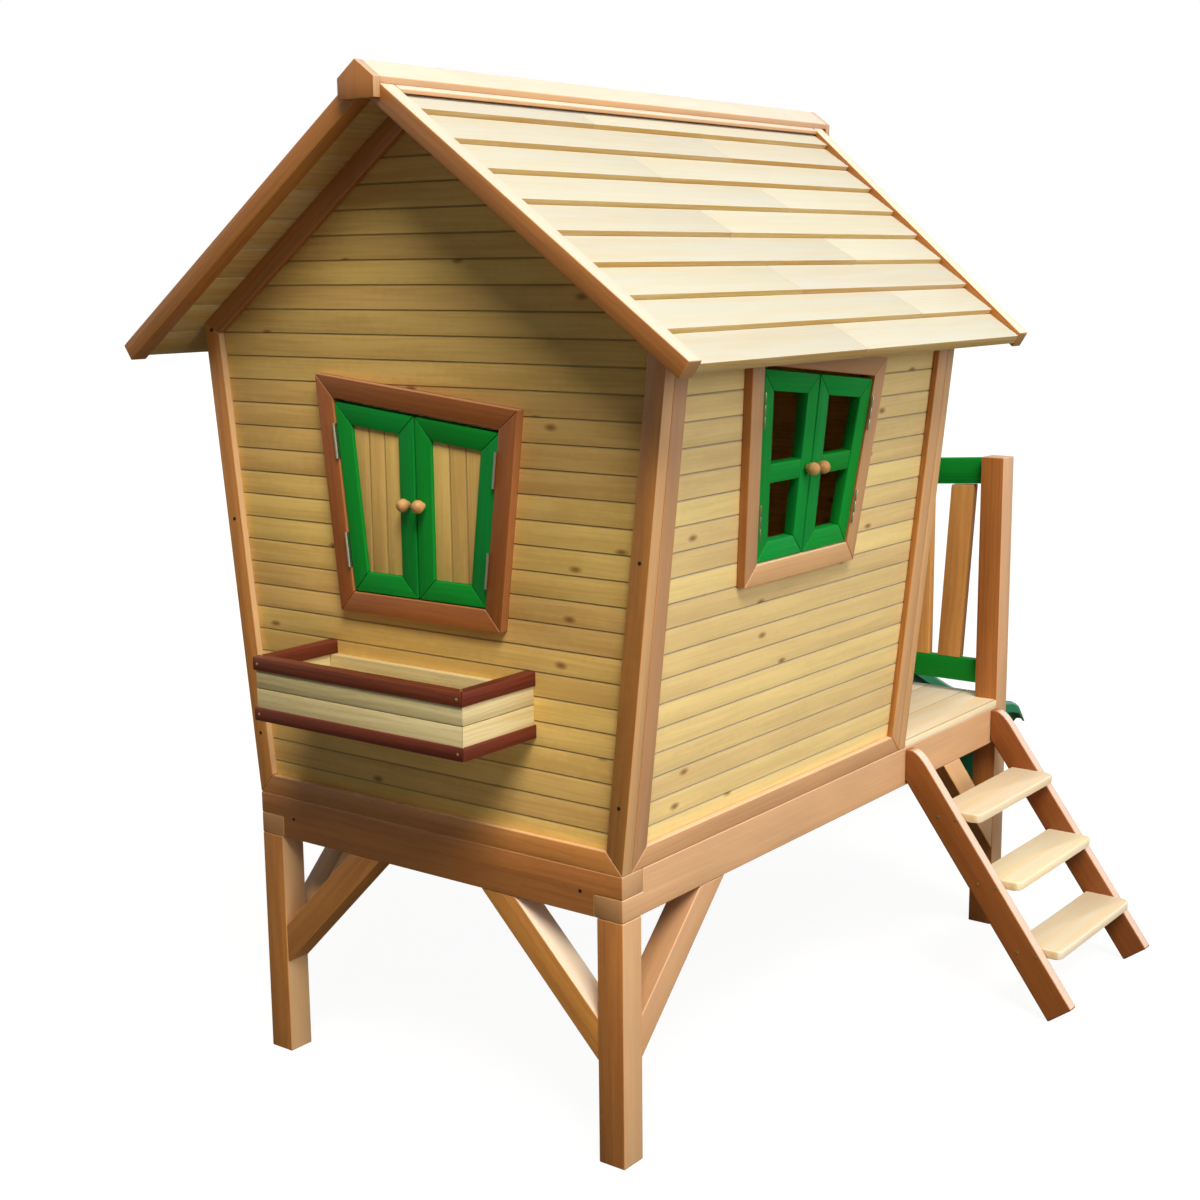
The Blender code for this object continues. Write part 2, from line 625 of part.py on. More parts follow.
def make_roof():
    """Lapped roof boards, one sawtooth slab a side, between the barge boards."""
    course = SLOPE_L / COURSES
    profile = [(GAP, 0.0), (SLOPE_L - course, 0.0), (SLOPE_L, EAVE_LIFT)]
    for i in range(COURSES):
        butt = SLOPE_L - i * course
        profile += [(butt, COURSE_BUTT), (max(butt - course, GAP), COURSE_HEAD)]
    barge_width = BARGE_T / math.cos(math.atan2(FAR_VERGE_RIDGE - FAR_VERGE_EAVE, EAVE_X))
    near = NEAR_VERGE + BARGE_T + GAP
    for side, sign in (("left", -1), ("right", 1)):
        down = Vector((sign * math.cos(ROOF_PITCH), 0, -math.sin(ROOF_PITCH)))
        out = Vector((sign * math.sin(ROOF_PITCH), 0, math.cos(ROOF_PITCH)))
        slope = frame((0, 0, ROOF_UNDERSIDE), tuple(down), tuple(out))
        middle_cut = COURSE_BUTT * math.tan(ROOF_PITCH)
        bm = outline_solid([profile], -1.0, 1.0, slope)
        for vert in bm.verts:
            if vert.co.y > 0:
                vert.co.y = far_verge(vert.co.x) - barge_width - GAP
            else:
                vert.co.y = near
            if abs(vert.co.x) < middle_cut:
                vert.co.x = sign * GAP
        add_part(f"roof_{side}", bm, ROOFING)

        square_cut = (BARGE_RISE + BARGE_DROP) * math.sin(ROOF_PITCH)

        def barge(verge_of, thickness):
            def corner(along, depth, rise):
                x = EAVE_X - (0.0 if rise > 0 else square_cut) if along > 0 else GAP
                y = verge_of(x) + (thickness if depth > 0 else 0.0)
                lift = BARGE_RISE if rise > 0 else -BARGE_DROP
                return Vector((sign * x, y, roof_under(x) + lift / math.cos(ROOF_PITCH)))
            return block_mesh(corner)

        add_part(f"barge_near_{side}", barge(lambda x: NEAR_VERGE, BARGE_T), STAIN)
        add_part(f"barge_far_{side}", barge(far_verge, -barge_width), STAIN)


def make_ridge():
    """Ridge capping: a chevron over the barges, a wider strip between them, and two end blocks."""
    crown = ROOF_UNDERSIDE + BARGE_RISE / math.cos(ROOF_PITCH) + GAP
    cap = [(0.0, crown + RIDGE_CAP), (-RIDGE_HALF, crown + RIDGE_CAP - SLOPE * RIDGE_HALF),
           (-RIDGE_HALF, crown - SLOPE * RIDGE_HALF), (0.0, crown),
           (RIDGE_HALF, crown - SLOPE * RIDGE_HALF), (RIDGE_HALF, crown + RIDGE_CAP - SLOPE * RIDGE_HALF)]
    first = NEAR_VERGE - GAP
    last = FAR_VERGE_RIDGE + GAP
    ridge = plate("ridge_cap", [cap], -last - OVERLAP, -first + OVERLAP, GABLE, STAIN)
    wide = RIDGE_STRIP_HALF
    drop = SLOPE * wide
    seat = ROOF_UNDERSIDE + (COURSE_BUTT + GAP) / math.cos(ROOF_PITCH)
    bed = crown + OVERLAP
    strip = [(0.0, bed), (-wide, bed - drop), (-wide, seat - drop), (0.0, seat), (wide, seat - drop),
             (wide, bed - drop)]
    barge_width = BARGE_T / math.cos(math.atan2(FAR_VERGE_RIDGE - FAR_VERGE_EAVE, EAVE_X))
    strip_far = far_verge(wide) - barge_width - OVERLAP
    strip_near = NEAR_VERGE + BARGE_T + OVERLAP
    boolean(ridge, add_cutter("ridge_strip", outline_solid([strip], -strip_far, -strip_near, GABLE)), "UNION")
    peak = crown + RIDGE_CAP
    shoulder = peak - SLOPE * RIDGE_HALF
    block = [(-RIDGE_HALF, peak - RIDGE_BLOCK_H), (RIDGE_HALF, peak - RIDGE_BLOCK_H), (RIDGE_HALF, shoulder),
             (0.0, peak), (-RIDGE_HALF, shoulder)]
    for name, start, end in (("near", -first, -first + RIDGE_BLOCK_T), ("far", -last - RIDGE_BLOCK_T, -last)):
        boolean(ridge, add_cutter(f"ridge_block_{name}", outline_solid([block], start, end, GABLE)), "UNION")


def make_ladder():
    """Two sloping stringers with round shoulders and three treads with round front corners."""
    wall = HALF_W + GAP
    run = Vector((math.cos(LADDER_PITCH), -math.sin(LADDER_PITCH)))
    side = Vector((math.sin(LADDER_PITCH), math.cos(LADDER_PITCH)))
    heel = Vector((wall, LADDER_TOP - LADDER_HEEL))
    foot = heel + run * (heel.y / math.sin(LADDER_PITCH))
    toe = foot + side * STRINGER_W
    top = Vector((wall, LADDER_TOP))
    shoulder = toe - run * ((LADDER_TOP - LADDER_SHOULDER - toe.y) / math.sin(LADDER_PITCH))
    bend = toe - run * ((LADDER_TOP - toe.y) / math.sin(LADDER_PITCH))
    crown = []
    for step in range(6):
        share = step / 5
        crown.append(tuple(shoulder.lerp(bend, share).lerp(bend.lerp(top, 0.6 * share), share)))
    outline = [tuple(heel), tuple(foot), tuple(toe)] + crown + [tuple(top)]
    for name, y in (("near", LADDER_Y[0]), ("far", LADDER_Y[1] - STRINGER_T)):
        plate(f"ladder_stringer_{name}", [outline], -y - STRINGER_T, -y, GABLE, STAIN)
    left, right = LADDER_Y[0] + STRINGER_T + GAP, LADDER_Y[1] - STRINGER_T - GAP
    for i in range(TREADS):
        front = TREAD_FIRST[0] + i * TREAD_STEP[0]
        top = TREAD_FIRST[1] + i * TREAD_STEP[1]
        back = front - TREAD_DEPTH
        board = [(back, left), (front - TREAD_CORNER, left)]
        for turn in (30, 60, 90):
            angle = math.radians(turn)
            short, shift = 1 - math.sin(angle), 1 - math.cos(angle)
            board.append((front - TREAD_CORNER * short, left + TREAD_CORNER * shift))
        board += [(x, left + right - y) for x, y in board[::-1]]
        plate(f"ladder_tread_{i + 1}", [board], top - TREAD_T, top, LEVEL, NATURAL)


def rail_top(x, edge):
    """Height of a top-rail edge, which climbs towards the post."""
    share = (x - UPRIGHT_X[0]) / (HALF_W - POST - UPRIGHT_X[0])
    return RAIL_HIGH[edge] + RAIL_SKEW * (share - 0.5)


def make_railings():
    """Crooked porch railings: one beside the slide gap and one along the left edge."""
    end = HALF_W - POST - GAP
    low, high = RAIL_LOW
    first = BALUSTER_X
    foot = DECK_TOP + GAP
    shape = [(NEWEL_X[0], foot), (NEWEL_X[1], foot), (NEWEL_X[1], low), (end, low), (end, high),
             (first + BALUSTER_W, high),
             (first + BALUSTER_W + BALUSTER_LEAN, rail_top(first + BALUSTER_W, 0)), (end, rail_top(end, 0)),
             (end, rail_top(end, 1)), (NEWEL_X[0], rail_top(NEWEL_X[0], 1))]
    holes = []
    for left, right, lean in ((NEWEL_X[1], UPRIGHT_X[0], 0.0), (UPRIGHT_X[1], first, BALUSTER_LEAN)):
        upper = [(right + lean, rail_top(right, 0)), (left, rail_top(left, 0))]
        holes.append([(left, high), (right, high)] + upper)
    plate("railing_front", [shape] + holes, -RAIL_Y - RAIL_T, -RAIL_Y, GABLE, GREEN)
    start, stop = HOUSE_L + GAP, PLATFORM_L - POST - GAP
    count = LEFT_BALUSTERS
    space = (stop - start - count * BALUSTER_W) / (count + 1)
    lower, upper = RAIL_HIGH
    feet = [start + space + i * (space + BALUSTER_W) for i in range(count)]
    leans = [BALUSTER_LEAN * (-1) ** i for i in range(count)]
    outer = [(start, low), (stop, low), (stop, high), (feet[-1] + BALUSTER_W, high),
             (feet[-1] + BALUSTER_W + leans[-1], lower), (stop, lower), (stop, upper), (start, upper),
             (start, lower), (feet[0] + leans[0], lower), (feet[0], high), (start, high)]
    gaps = []
    for i in range(count - 1):
        a, b = feet[i] + BALUSTER_W, feet[i + 1]
        gaps.append([(a, high), (b, high), (b + leans[i + 1], lower), (a + leans[i], lower)])
    edge = -HALF_W + (POST - RAIL_T) / 2
    plate("railing_left", [outer] + gaps, edge, edge + RAIL_T, ALONG, GREEN)


def slide_section():
    """Channel with flared sides and a rolled lip, drawn once and mirrored."""
    edge = SLIDE_HALF
    top = [(edge, 0.0), (edge + 0.025, 0.010), (edge + 0.032, 0.030), (edge + 0.040, 0.078),
           (edge + 0.047, 0.087), (edge + 0.061, 0.089), (edge + 0.071, 0.080), (edge + 0.073, 0.056)]
    under = [(edge + 0.067, 0.056), (edge + 0.065, 0.076), (edge + 0.059, 0.083), (edge + 0.050, 0.081),
             (edge + 0.046, 0.074), (edge + 0.038, 0.029), (edge + 0.030, 0.005), (edge + 0.002, -SLIDE_WALL)]
    half = top + under
    return [(-x, n) for x, n in half[::-1]] + half


def make_slide():
    """Moulded slide that leaves the porch level, drops and runs out on a foot, with round side ends."""
    start = PLATFORM_L + GAP
    high, low = DECK_TOP + GAP, SLIDE_EXIT
    knots = [Vector((start, high)), Vector((start + SLIDE_TURNS[0], high)),
             Vector((start + SLIDE_TURNS[1], low)), Vector((start + SLIDE_RUN, low))]
    stations = []
    for i in range(SLIDE_STATIONS):
        t = i / (SLIDE_STATIONS - 1)
        weights = ((1 - t) ** 3, 3 * t * (1 - t) ** 2, 3 * t * t * (1 - t), t ** 3)
        spot = sum((k * w for k, w in zip(knots, weights)), Vector((0, 0)))
        legs = [b - a for a, b in zip(knots, knots[1:])]
        speeds = ((1 - t) ** 2, 2 * t * (1 - t), t * t)
        run = sum((leg * w for leg, w in zip(legs, speeds)), Vector((0, 0))).normalized()
        end = max(0.0, spot.x - start - SLIDE_RUN + SLIDE_ROUND[0]) / SLIDE_ROUND[0]
        shrink = 1 - SLIDE_ROUND[1] * (1 - math.sqrt(max(0.0, 1 - end * end)))
        station = frame((SLIDE_X, spot.x, spot.y), (1, 0, 0), (0, -run.y, run.x))
        stations.append(station @ Matrix.Diagonal((1, shrink, 1, 1)))
    slide = add_part("slide", sweep_mesh(slide_section(), stations), HDPE)
    left, right = SLIDE_X - SLIDE_HALF, SLIDE_X + SLIDE_HALF
    flange = box_mesh((left, start, BEAM_BOTTOM + SLIDE_FLANGE_RISE),
                      (right, start + SLIDE_WALL, high - SLIDE_WALL / 2))
    boolean(slide, add_cutter("slide_flange", flange), "UNION")
    exit_y = start + SLIDE_RUN
    shoe = box_mesh((left, exit_y - SLIDE_SHOE[0], 0),
                    (right, exit_y - SLIDE_SHOE[1], low - SLIDE_WALL / 8))
    boolean(slide, add_cutter("slide_shoe", shoe), "UNION")


def centre_on_origin():
    """Put the origin under the middle of the whole object's box."""
    graph = bpy.context.evaluated_depsgraph_get()
    corners = []
    for part in PARTS.objects:
        if part.type == "MESH":
            ready = part.evaluated_get(graph)
            corners += [ready.matrix_world @ v.co for v in ready.data.vertices]
    low = Vector(map(min, zip(*corners)))
    high = Vector(map(max, zip(*corners)))
    ROOT.location = (-(low.x + high.x) / 2, -(low.y + high.y) / 2, -low.z)


make_legs_and_beams()
make_braces()
make_floors()
make_walls()
make_shutters()
make_casements()
make_planter()
make_roof()
make_ridge()
make_ladder()
make_railings()
make_slide()
centre_on_origin()
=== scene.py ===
"""Looks of the crooked timber playhouse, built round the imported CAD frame.

Every member that shows its own grain is a separate timber with eased arrises.
A timber keeps its own lengthwise coordinates in the attribute "grain", so that
its growth rings run along it and end on its end faces.
"""
import math
import random

import bpy
from bpy.props import FloatProperty, FloatVectorProperty, IntProperty, PointerProperty
from mathutils import Matrix, Vector


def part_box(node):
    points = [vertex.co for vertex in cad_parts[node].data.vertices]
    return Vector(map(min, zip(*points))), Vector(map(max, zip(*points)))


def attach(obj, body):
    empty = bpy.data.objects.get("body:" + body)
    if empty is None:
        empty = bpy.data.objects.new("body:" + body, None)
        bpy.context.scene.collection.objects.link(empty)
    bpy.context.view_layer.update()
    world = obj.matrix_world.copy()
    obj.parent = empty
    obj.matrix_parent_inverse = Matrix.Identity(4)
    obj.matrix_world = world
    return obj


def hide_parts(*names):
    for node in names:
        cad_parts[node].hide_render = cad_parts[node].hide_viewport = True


bl_info = {
    "name": "Crooked Playhouse",
    "version": (1, 0, 0),
    "blender": (4, 5, 0),
    "location": "View3D > Sidebar > Playhouse",
    "description": "Dresses the crooked timber playhouse in boards, battens, paint and fittings",
    "category": "Object",
}

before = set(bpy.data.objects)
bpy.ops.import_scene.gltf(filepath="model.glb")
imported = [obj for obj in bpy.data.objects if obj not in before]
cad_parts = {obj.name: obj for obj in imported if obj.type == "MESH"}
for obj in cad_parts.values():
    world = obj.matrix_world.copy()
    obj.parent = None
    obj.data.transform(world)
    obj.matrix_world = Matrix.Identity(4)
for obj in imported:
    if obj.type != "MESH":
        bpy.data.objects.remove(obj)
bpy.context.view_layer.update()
DRAW = random.Random(11)

# Places that the CAD gives
GABLE_LOW, GABLE_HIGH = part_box("gable_battens")
FRONT_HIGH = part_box("front_battens")[1]
HOUSE_X = (GABLE_LOW.x + GABLE_HIGH.x) / 2
GABLE_Y = GABLE_LOW.y
HOUSE_L = FRONT_HIGH.y - GABLE_Y
BEAM_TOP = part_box("gable_beam")[1].z
HALF_W = (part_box("gable_beam")[1].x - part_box("gable_beam")[0].x) / 2
DECK_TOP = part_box("porch_deck")[1].z
PLATFORM_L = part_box("porch_deck")[1].y - GABLE_Y

# What the members have in common with the source's solids, lengths in metres
GAP = 0.0003
POST = 0.055
WALL_LEAN = math.radians(6.27)
BOARD_T = 0.015
BOARD_FACE = 0.0437
BOARD_FIRST = 0.0218
DECK_BOARD = 0.098
BATTEN_T = 0.0127
BATTEN_W = 0.038
SIDE_HEAD_W = 0.021
ROOF_PITCH = math.radians(35.6)
ROOF_UNDERSIDE = 1.834
EAVE_X = 0.653
NEAR_VERGE = -0.106
FAR_VERGE_RIDGE = 1.340
FAR_VERGE_EAVE = 1.095
COURSES = 9
COURSE_BUTT = 0.026
COURSE_HEAD = 0.016
EAVE_LIFT = 0.007
BARGE_T = 0.035
BARGE_RISE = 0.032
GABLE_CLEAR = 0.0005
SIDE_CLEAR = 0.002
RIDGE_HALF = 0.0415
RIDGE_BLOCK_T = 0.016
RIDGE_BLOCK_H = 0.064
WINDOW_SILL_HALF = 0.159
WINDOW_HEAD_HALF = 0.197
WINDOW_LEFT_H = 0.354
WINDOW_RIGHT_H = 0.314
SURROUND_W = 0.038
SURROUND_PROUD = 0.004
GABLE_WINDOW = (-0.004, 0.962)
SIDE_WINDOW = (0.486, 1.0266)
# Gaps of a leaf at sill, meeting stile, head and jamb
LEAF_GAPS = (0.002, 0.0018, 0.0064, 0.0015)
LEAF_RECESS = 0.003
LEAF_T = 0.022
SHUTTER_STILE = 0.037
SHUTTER_BOARDS = 3
CASEMENT_STILE = 0.036
CROSS_RAIL = (0.143, 0.178)
DOOR_X = -0.105
DOOR_SILL_HALF = 0.205
DOOR_HEAD_HALF = 0.215
DOOR_LEFT_H = 0.760
DOOR_RIGHT_H = 0.715
PLANTER_HALF = 0.247
PLANTER_DEPTH = 0.174
PLANTER_BOTTOM = 0.743
PLANTER_TOP = 0.861
PLANTER_WALL = 0.015
TRIM_H = 0.025
TRIM_W = 0.024
TRIM_LIP = 0.004
RAIL_T = 0.022
RAIL_Y = 1.478
RAIL_LOW = (0.577, 0.632)
RAIL_HIGH = (1.040, 1.100)
RAIL_SKEW = 0.012
NEWEL_X = (0.060, 0.115)
UPRIGHT_X = (0.203, 0.258)
BALUSTER_X = 0.281
BALUSTER_W = 0.057
BALUSTER_LEAN = 0.026
LEFT_BALUSTERS = 3
HINGE_PROUD = 0.003
HINGE_L = 0.064
HINGE_STATIONS = (0.22, 0.78)

# Sizes of the dressed members alone, in metres
CLADDING_EASE = 0.0004
PANEL_EASE = 0.0005
FLOOR_EASE = 0.0008
PLANTER_EASE = 0.0008
TRIM_EASE = 0.002
ROOF_EASE = 0.0012
LADDER_EASE = 0.003
CROSS_RAIL_SHY = 0.001
PLANTER_SEAM = 0.0015
ROOF_OVERCUT = 0.005
RIDGE_CAP = 0.0115
RIDGE_STRIP_HALF = 0.051
RIDGE_STRIP_CLEAR = 0.001
BARREL_R = 0.0016
KNUCKLE_GAP = 0.0006
KNUCKLE_RIM = 0.0003
SCREW_H = 0.0012
SCREW_DOME = 0.0003
DRIVE_DEPTH = 0.0008
TRIM_SCREW_INSET = 0.012
STILE_SCREWS = (0.12, 0.54, 0.90)
BEAM_SCREW = 0.09

# Counts and shares of the dressed members
PLANTER_SLATS = 2
ROOF_STAGGER = 0.25
STAGGER_PLAY = 0.06
RIDGE_STOCK = 1.4
KNUCKLES = 3
TRIM_SCREW_SHARE = 0.8
TREAD_SCREWS = (0.22, 0.62)
# Rings of a screw head from its rim inwards: share of its radius, and rise
SCREW_RINGS = ((0.35, SCREW_DOME), (0.35, 0.0), (0.05, -DRIVE_DEPTH))
# Edges of the gable outline that are corner stiles
STILES = (1, 4)

# The stage: each lamp's name, direction, strength, angle in degrees and colour
LAMPS = (("side", (0.96, 0.00, 0.28), 1.65, 45, "#FFFFFF"),
         ("front", (0.44, -0.38, 0.815), 3.1, 30, "#FFF8E7"))
WORLD_FILL = 0.02
FLOOR_SIZE = 60.0
FLOOR_SHADE = (0.11, 0.11, 0.10, 1.0)
FLOOR_LIFT = 0.92
WHITE = (1.0, 1.0, 1.0, 1.0)

# The photograph's camera, solved from the corners of the platform, walls and roof
CAMERA_PLACE = (2.07835, -3.52221, 1.54705)
CAMERA_AZIMUTH = math.radians(37.18)
CAMERA_PITCH = math.radians(10.52)
CAMERA_ROLL = 0.0105
CAMERA_LENS = 54.07
CAMERA_FILM = 36.0
CAMERA_REACH = 100.0

PANEL_DEPTH = BATTEN_T + GAP + BOARD_T
SLOPE = math.tan(ROOF_PITCH)
LEAN = math.tan(WALL_LEAN)
SLOPE_L = (EAVE_X - BARGE_RISE * math.sin(ROOF_PITCH)) / math.cos(ROOF_PITCH)
BARGE_W = BARGE_T / math.cos(math.atan2(FAR_VERGE_RIDGE - FAR_VERGE_EAVE, EAVE_X))


def linear(text):
    """Linear RGB of an sRGB hex value."""
    parts = [int(text[i:i + 2], 16) / 255 for i in (1, 3, 5)]
    return tuple(c / 12.92 if c <= 0.04045 else ((c + 0.055) / 1.055) ** 2.4 for c in parts)


def colour_prop(name, text, about):
    """A colour that a user can change, from its sRGB hex value."""
    return FloatVectorProperty(name=name, description=about, subtype="COLOR", size=3, min=0, max=1,
                               default=linear(text))


class PlayhouseColours(bpy.types.PropertyGroup):
    """Colours of the finishes."""
    stain: colour_prop("Stain", "#C88540", "Red-brown stain on posts, beams and battens")
    stain_dark: colour_prop("Stain late wood", "#985A28", "Darker streaks under the stain")
    ladder: colour_prop("Ladder", "#92511F", "Deeper stain of the stringers")
    # Painted shade: the shutter surround's colour is the red-brown stain darkened to its shade
    surround: colour_prop("Shutter surround", "#AE6A2C", "Heavier stain round the shutters")
    baluster: colour_prop("Balusters", "#F2B468", "Golden stain of balusters and newel")
    spruce: colour_prop("Spruce", "#F6CF7C", "Clear-stained spruce of the walls")
    spruce_dark: colour_prop("Spruce late wood", "#CFA052", "Darker streaks of the spruce")
    tread: colour_prop("Treads", "#EEE2CC", "Paler spruce of deck and treads")
    roof: colour_prop("Roof boards", "#D9D7CC", "Pale roof boards")
    roof_dark: colour_prop("Roof late wood", "#DACBA4", "Darker streaks of the roof boards")
    paint: colour_prop("Paint", "#12983A", "Green paint of shutters, casements and rails")
    paint_dark: colour_prop("Paint hollow", "#0A7030", "Green paint where it lies thin")
    trim: colour_prop("Planter trim", "#743620", "Dark red stain of the planter's trims")
    planter: colour_prop("Planter boards", "#E0D0A0", "Greyer spruce of the planter")
    beech: colour_prop("Beech", "#DDAC72", "Turned knobs")
    slide: colour_prop("Slide", "#0F6B46", "Moulded slide")


class PlayhouseSizes(bpy.types.PropertyGroup):
    """Workshop sizes that a user might change."""
    arris: FloatProperty(name="Arris", description="Easing of a timber's edges", unit="LENGTH",
                         default=0.0018, min=0.0002, max=0.004)
    paint_arris: FloatProperty(name="Painted arris", description="Easing of painted members",
                               unit="LENGTH", default=0.0025, min=0.0002, max=0.005)
    joint: FloatProperty(name="Joint", description="Gap between two members that meet",
                         unit="LENGTH", default=0.0004, min=0.0, max=0.002)
    ring: FloatProperty(name="Growth ring", unit="LENGTH", default=0.0075, min=0.002, max=0.02,
                        description="Spacing of the growth rings, coarse enough to show")
    screw: FloatProperty(name="Screw head", description="Radius of a screw head", unit="LENGTH",
                         default=0.0034, min=0.002, max=0.008)
    roof_lengths: IntProperty(name="Roof lengths", description="Boards end to end in one roof course",
                              default=2, min=1, max=4)


def sizes():
    """The sizes as they are set in the scene."""
    return bpy.context.scene.playhouse_sizes


def colours():
    """The colours as they are set in the scene."""
    return bpy.context.scene.playhouse_colours


# Placing

def place_of(origin, across, up):
    """Axes of a flat piece: across, up and outwards."""
    across, up = Vector(across), Vector(up)
    place = Matrix((across, up, across.cross(up))).transposed().to_4x4()
    place.translation = origin
    return place


UP = Vector((0, 0, 1))
GABLE = place_of((HOUSE_X, GABLE_Y, 0), (1, 0, 0), UP)
FRONT = place_of((HOUSE_X, FRONT_HIGH.y, 0), (-1, 0, 0), UP)
LEAN_UP = Vector((math.sin(WALL_LEAN), 0, math.cos(WALL_LEAN)))
LEAN_BACK = Vector((-LEAN_UP.x, 0, LEAN_UP.z))
RIGHT = place_of((HOUSE_X + HALF_W, GABLE_Y, BEAM_TOP), (0, 1, 0), LEAN_UP)
LEFT = place_of((HOUSE_X - HALF_W, FRONT_HIGH.y, BEAM_TOP), (0, -1, 0), LEAN_BACK)
LEVEL = place_of((HOUSE_X, GABLE_Y, 0), (1, 0, 0), (0, 1, 0))


def inset(points, widths):
    """Move each edge of a counter-clockwise outline inwards by its own width."""
    count = len(points)
    lines = []
    for i, width in enumerate(widths):
        a, b = Vector(points[i]), Vector(points[(i + 1) % count])
        run = (b - a).normalized()
        lines.append((a + Vector((-run.y, run.x)) * width, run))
    corners = []
    for i in range(count):
        (p, r), (q, s) = lines[i - 1], lines[i]
        cross = r.x * s.y - r.y * s.x
        step = ((q.x - p.x) * s.y - (q.y - p.y) * s.x) / cross
        corners.append(tuple(p + r * step))
    return corners


def even_inset(points, width):
    """Move all edges of an outline inwards by one width."""
    return inset(points, [width] * len(points))


def side_points(quad, height):
    """The points of a quad's left and right edges at one height."""
    low_left, low_right, high_right, high_left = (Vector(p) for p in quad)
    left = low_left.lerp(high_left, (height - low_left.y) / (high_left.y - low_left.y))
    right = low_right.lerp(high_right, (height - low_right.y) / (high_right.y - low_right.y))
    return tuple(left), tuple(right)


def wall_edge(z):
    """Half the gable's width at one height."""
    return HALF_W + LEAN * (z - BEAM_TOP)


def gable_outline(margin=0.0):
    """Five-sided gable between the leaning walls and the roof, drawn in by a margin."""
    ridge = ROOF_UNDERSIDE - GABLE_CLEAR
    eave = (ridge - SLOPE * (HALF_W - LEAN * BEAM_TOP)) / (1 + SLOPE * LEAN)
    base = BEAM_TOP + GAP
    shape = [(-wall_edge(base), base), (wall_edge(base), base), (wall_edge(eave), eave),
             (0.0, ridge), (-wall_edge(eave), eave)]
    return even_inset(shape, margin)


def side_outline(width=0.0, head=0.0):
    """Side wall in its leaning plane, drawn in by a batten's width, and by another at the head."""
    near, far = PANEL_DEPTH + GAP, HOUSE_L - PANEL_DEPTH - GAP
    eave = gable_outline()[2][1] - SIDE_CLEAR
    rise = (eave - BEAM_TOP) / math.cos(WALL_LEAN)
    return inset([(near, GAP), (far, GAP), (far, rise), (near, rise)], [width, width, head, width])


def window_opening(middle, sill):
    """Crooked opening: wider at its head, which drops to the right."""
    return [(middle - WINDOW_SILL_HALF, sill), (middle + WINDOW_SILL_HALF, sill),
            (middle + WINDOW_HEAD_HALF, sill + WINDOW_RIGHT_H),
            (middle - WINDOW_HEAD_HALF, sill + WINDOW_LEFT_H)]


def leaf_outlines(opening, meeting):
    """Left and right leaves of one opening, counter-clockwise from bottom left."""
    low_left, _, high_right, high_left = (Vector(p) for p in opening)
    foot = (meeting, low_left.y)
    share = (meeting - high_left.x) / (high_right.x - high_left.x)
    head = tuple(high_left.lerp(high_right, share))
    sill, middle, top, jamb = LEAF_GAPS
    left = inset([opening[0], foot, head, opening[3]], [sill, middle, top, jamb])
    right = inset([foot, opening[1], opening[2], head], [sill, jamb, top, middle])
    return left, right


def side_sill():
    """Height of the side window's sill, measured up the leaning wall."""
    return (SIDE_WINDOW[1] - BEAM_TOP) / math.cos(WALL_LEAN)


# Modelling

def alone(piece):
    """Make one object the only selected and active one."""
    bpy.ops.object.select_all(action="DESELECT")
    piece.select_set(True)
    bpy.context.view_layer.objects.active = piece


def edit(piece, select="SELECT"):
    """Open one object in edit mode with all or none of it selected."""
    alone(piece)
    bpy.ops.object.mode_set(mode="EDIT")
    bpy.ops.mesh.select_mode(type="VERT")
    bpy.ops.mesh.select_all(action=select)


def leave_edit():
    """Go back to object mode."""
    bpy.ops.object.mode_set(mode="OBJECT")


def trim(cuts):
    """Cut the mesh in edit mode by planes, and close what each plane opens."""
    for point, normal in cuts:
        bpy.ops.mesh.select_all(action="SELECT")
        bpy.ops.mesh.bisect(plane_co=point, plane_no=normal, use_fill=True, clear_outer=True)


# What each face of a timber tells its material, and the side where sunlight is painted on
FACE_MARKS = ("tone", "end", "worn", "groove", "sky", "painted_sunlit")
# Painted sunlight: faces turned to this direction are painted lighter
PAINTED_SUN = Vector((0.62, 0.0, 0.78))
END_FACING = 0.75
SQUARE_FACING = 0.95
ARRIS_SPREAD = 1.1


def grain(piece, along, across, pitch=0.0, ease=0.0, first=0.0):
    """Store the timber's own coordinates, its tone, and how each of its faces lies.

    A boarded piece has one board to each pitch across it, of which the first may be narrower.
    """
    mesh = piece.data
    along = Vector(along).normalized()
    across = (Vector(across) - along * Vector(across).dot(along)).normalized()
    out = along.cross(across)
    base = min(v.co.dot(across) for v in mesh.vertices) if pitch else 0.0
    if first:
        base += first - pitch
    boards = {}
    mesh.attributes.new("grain", "FLOAT_VECTOR", "CORNER")
    for name in FACE_MARKS:
        mesh.attributes.new(name, "FLOAT", "FACE")
    coords = mesh.attributes["grain"].data
    tone, end, worn, groove, sky, painted_sunlit = (mesh.attributes[name].data for name in FACE_MARKS)
    points = mesh.vertices
    for face in mesh.polygons:
        index = math.floor((face.center.dot(across) - base) / pitch) if pitch else 0
        if index not in boards:
            boards[index] = (Vector((DRAW.uniform(0, 9), DRAW.choice((-1, 1)) * DRAW.uniform(0.03, 0.09),
                                     DRAW.uniform(0.02, 0.08))), DRAW.random())
        shift, shade = boards[index]
        heart = base + (index + 0.5) * pitch if pitch else 0.0
        tone[face.index].value = shade
        end[face.index].value = 1.0 if abs(face.normal.dot(along)) > END_FACING else 0.0
        longest = max((points[a].co - points[b].co).length for a, b in face.edge_keys)
        narrow = face.area / longest < ease * ARRIS_SPREAD
        slanted = max(abs(face.normal.dot(axis)) for axis in (along, across, out)) < SQUARE_FACING
        worn[face.index].value = 1.0 if narrow and not pitch else 0.0
        groove[face.index].value = 1.0 if pitch and slanted else 0.0
        # How far a face looks up, for the painted shade under level and downward faces, and how far it turns
        # to the painted sun
        sky[face.index].value = max(face.normal.z, 0.0)
        painted_sunlit[face.index].value = max(face.normal.dot(PAINTED_SUN), 0.0)
        for corner in face.loop_indices:
            co = points[mesh.loops[corner].vertex_index].co
            coords[corner].vector = Vector((co.dot(along), co.dot(across) - heart, co.dot(out))) + shift


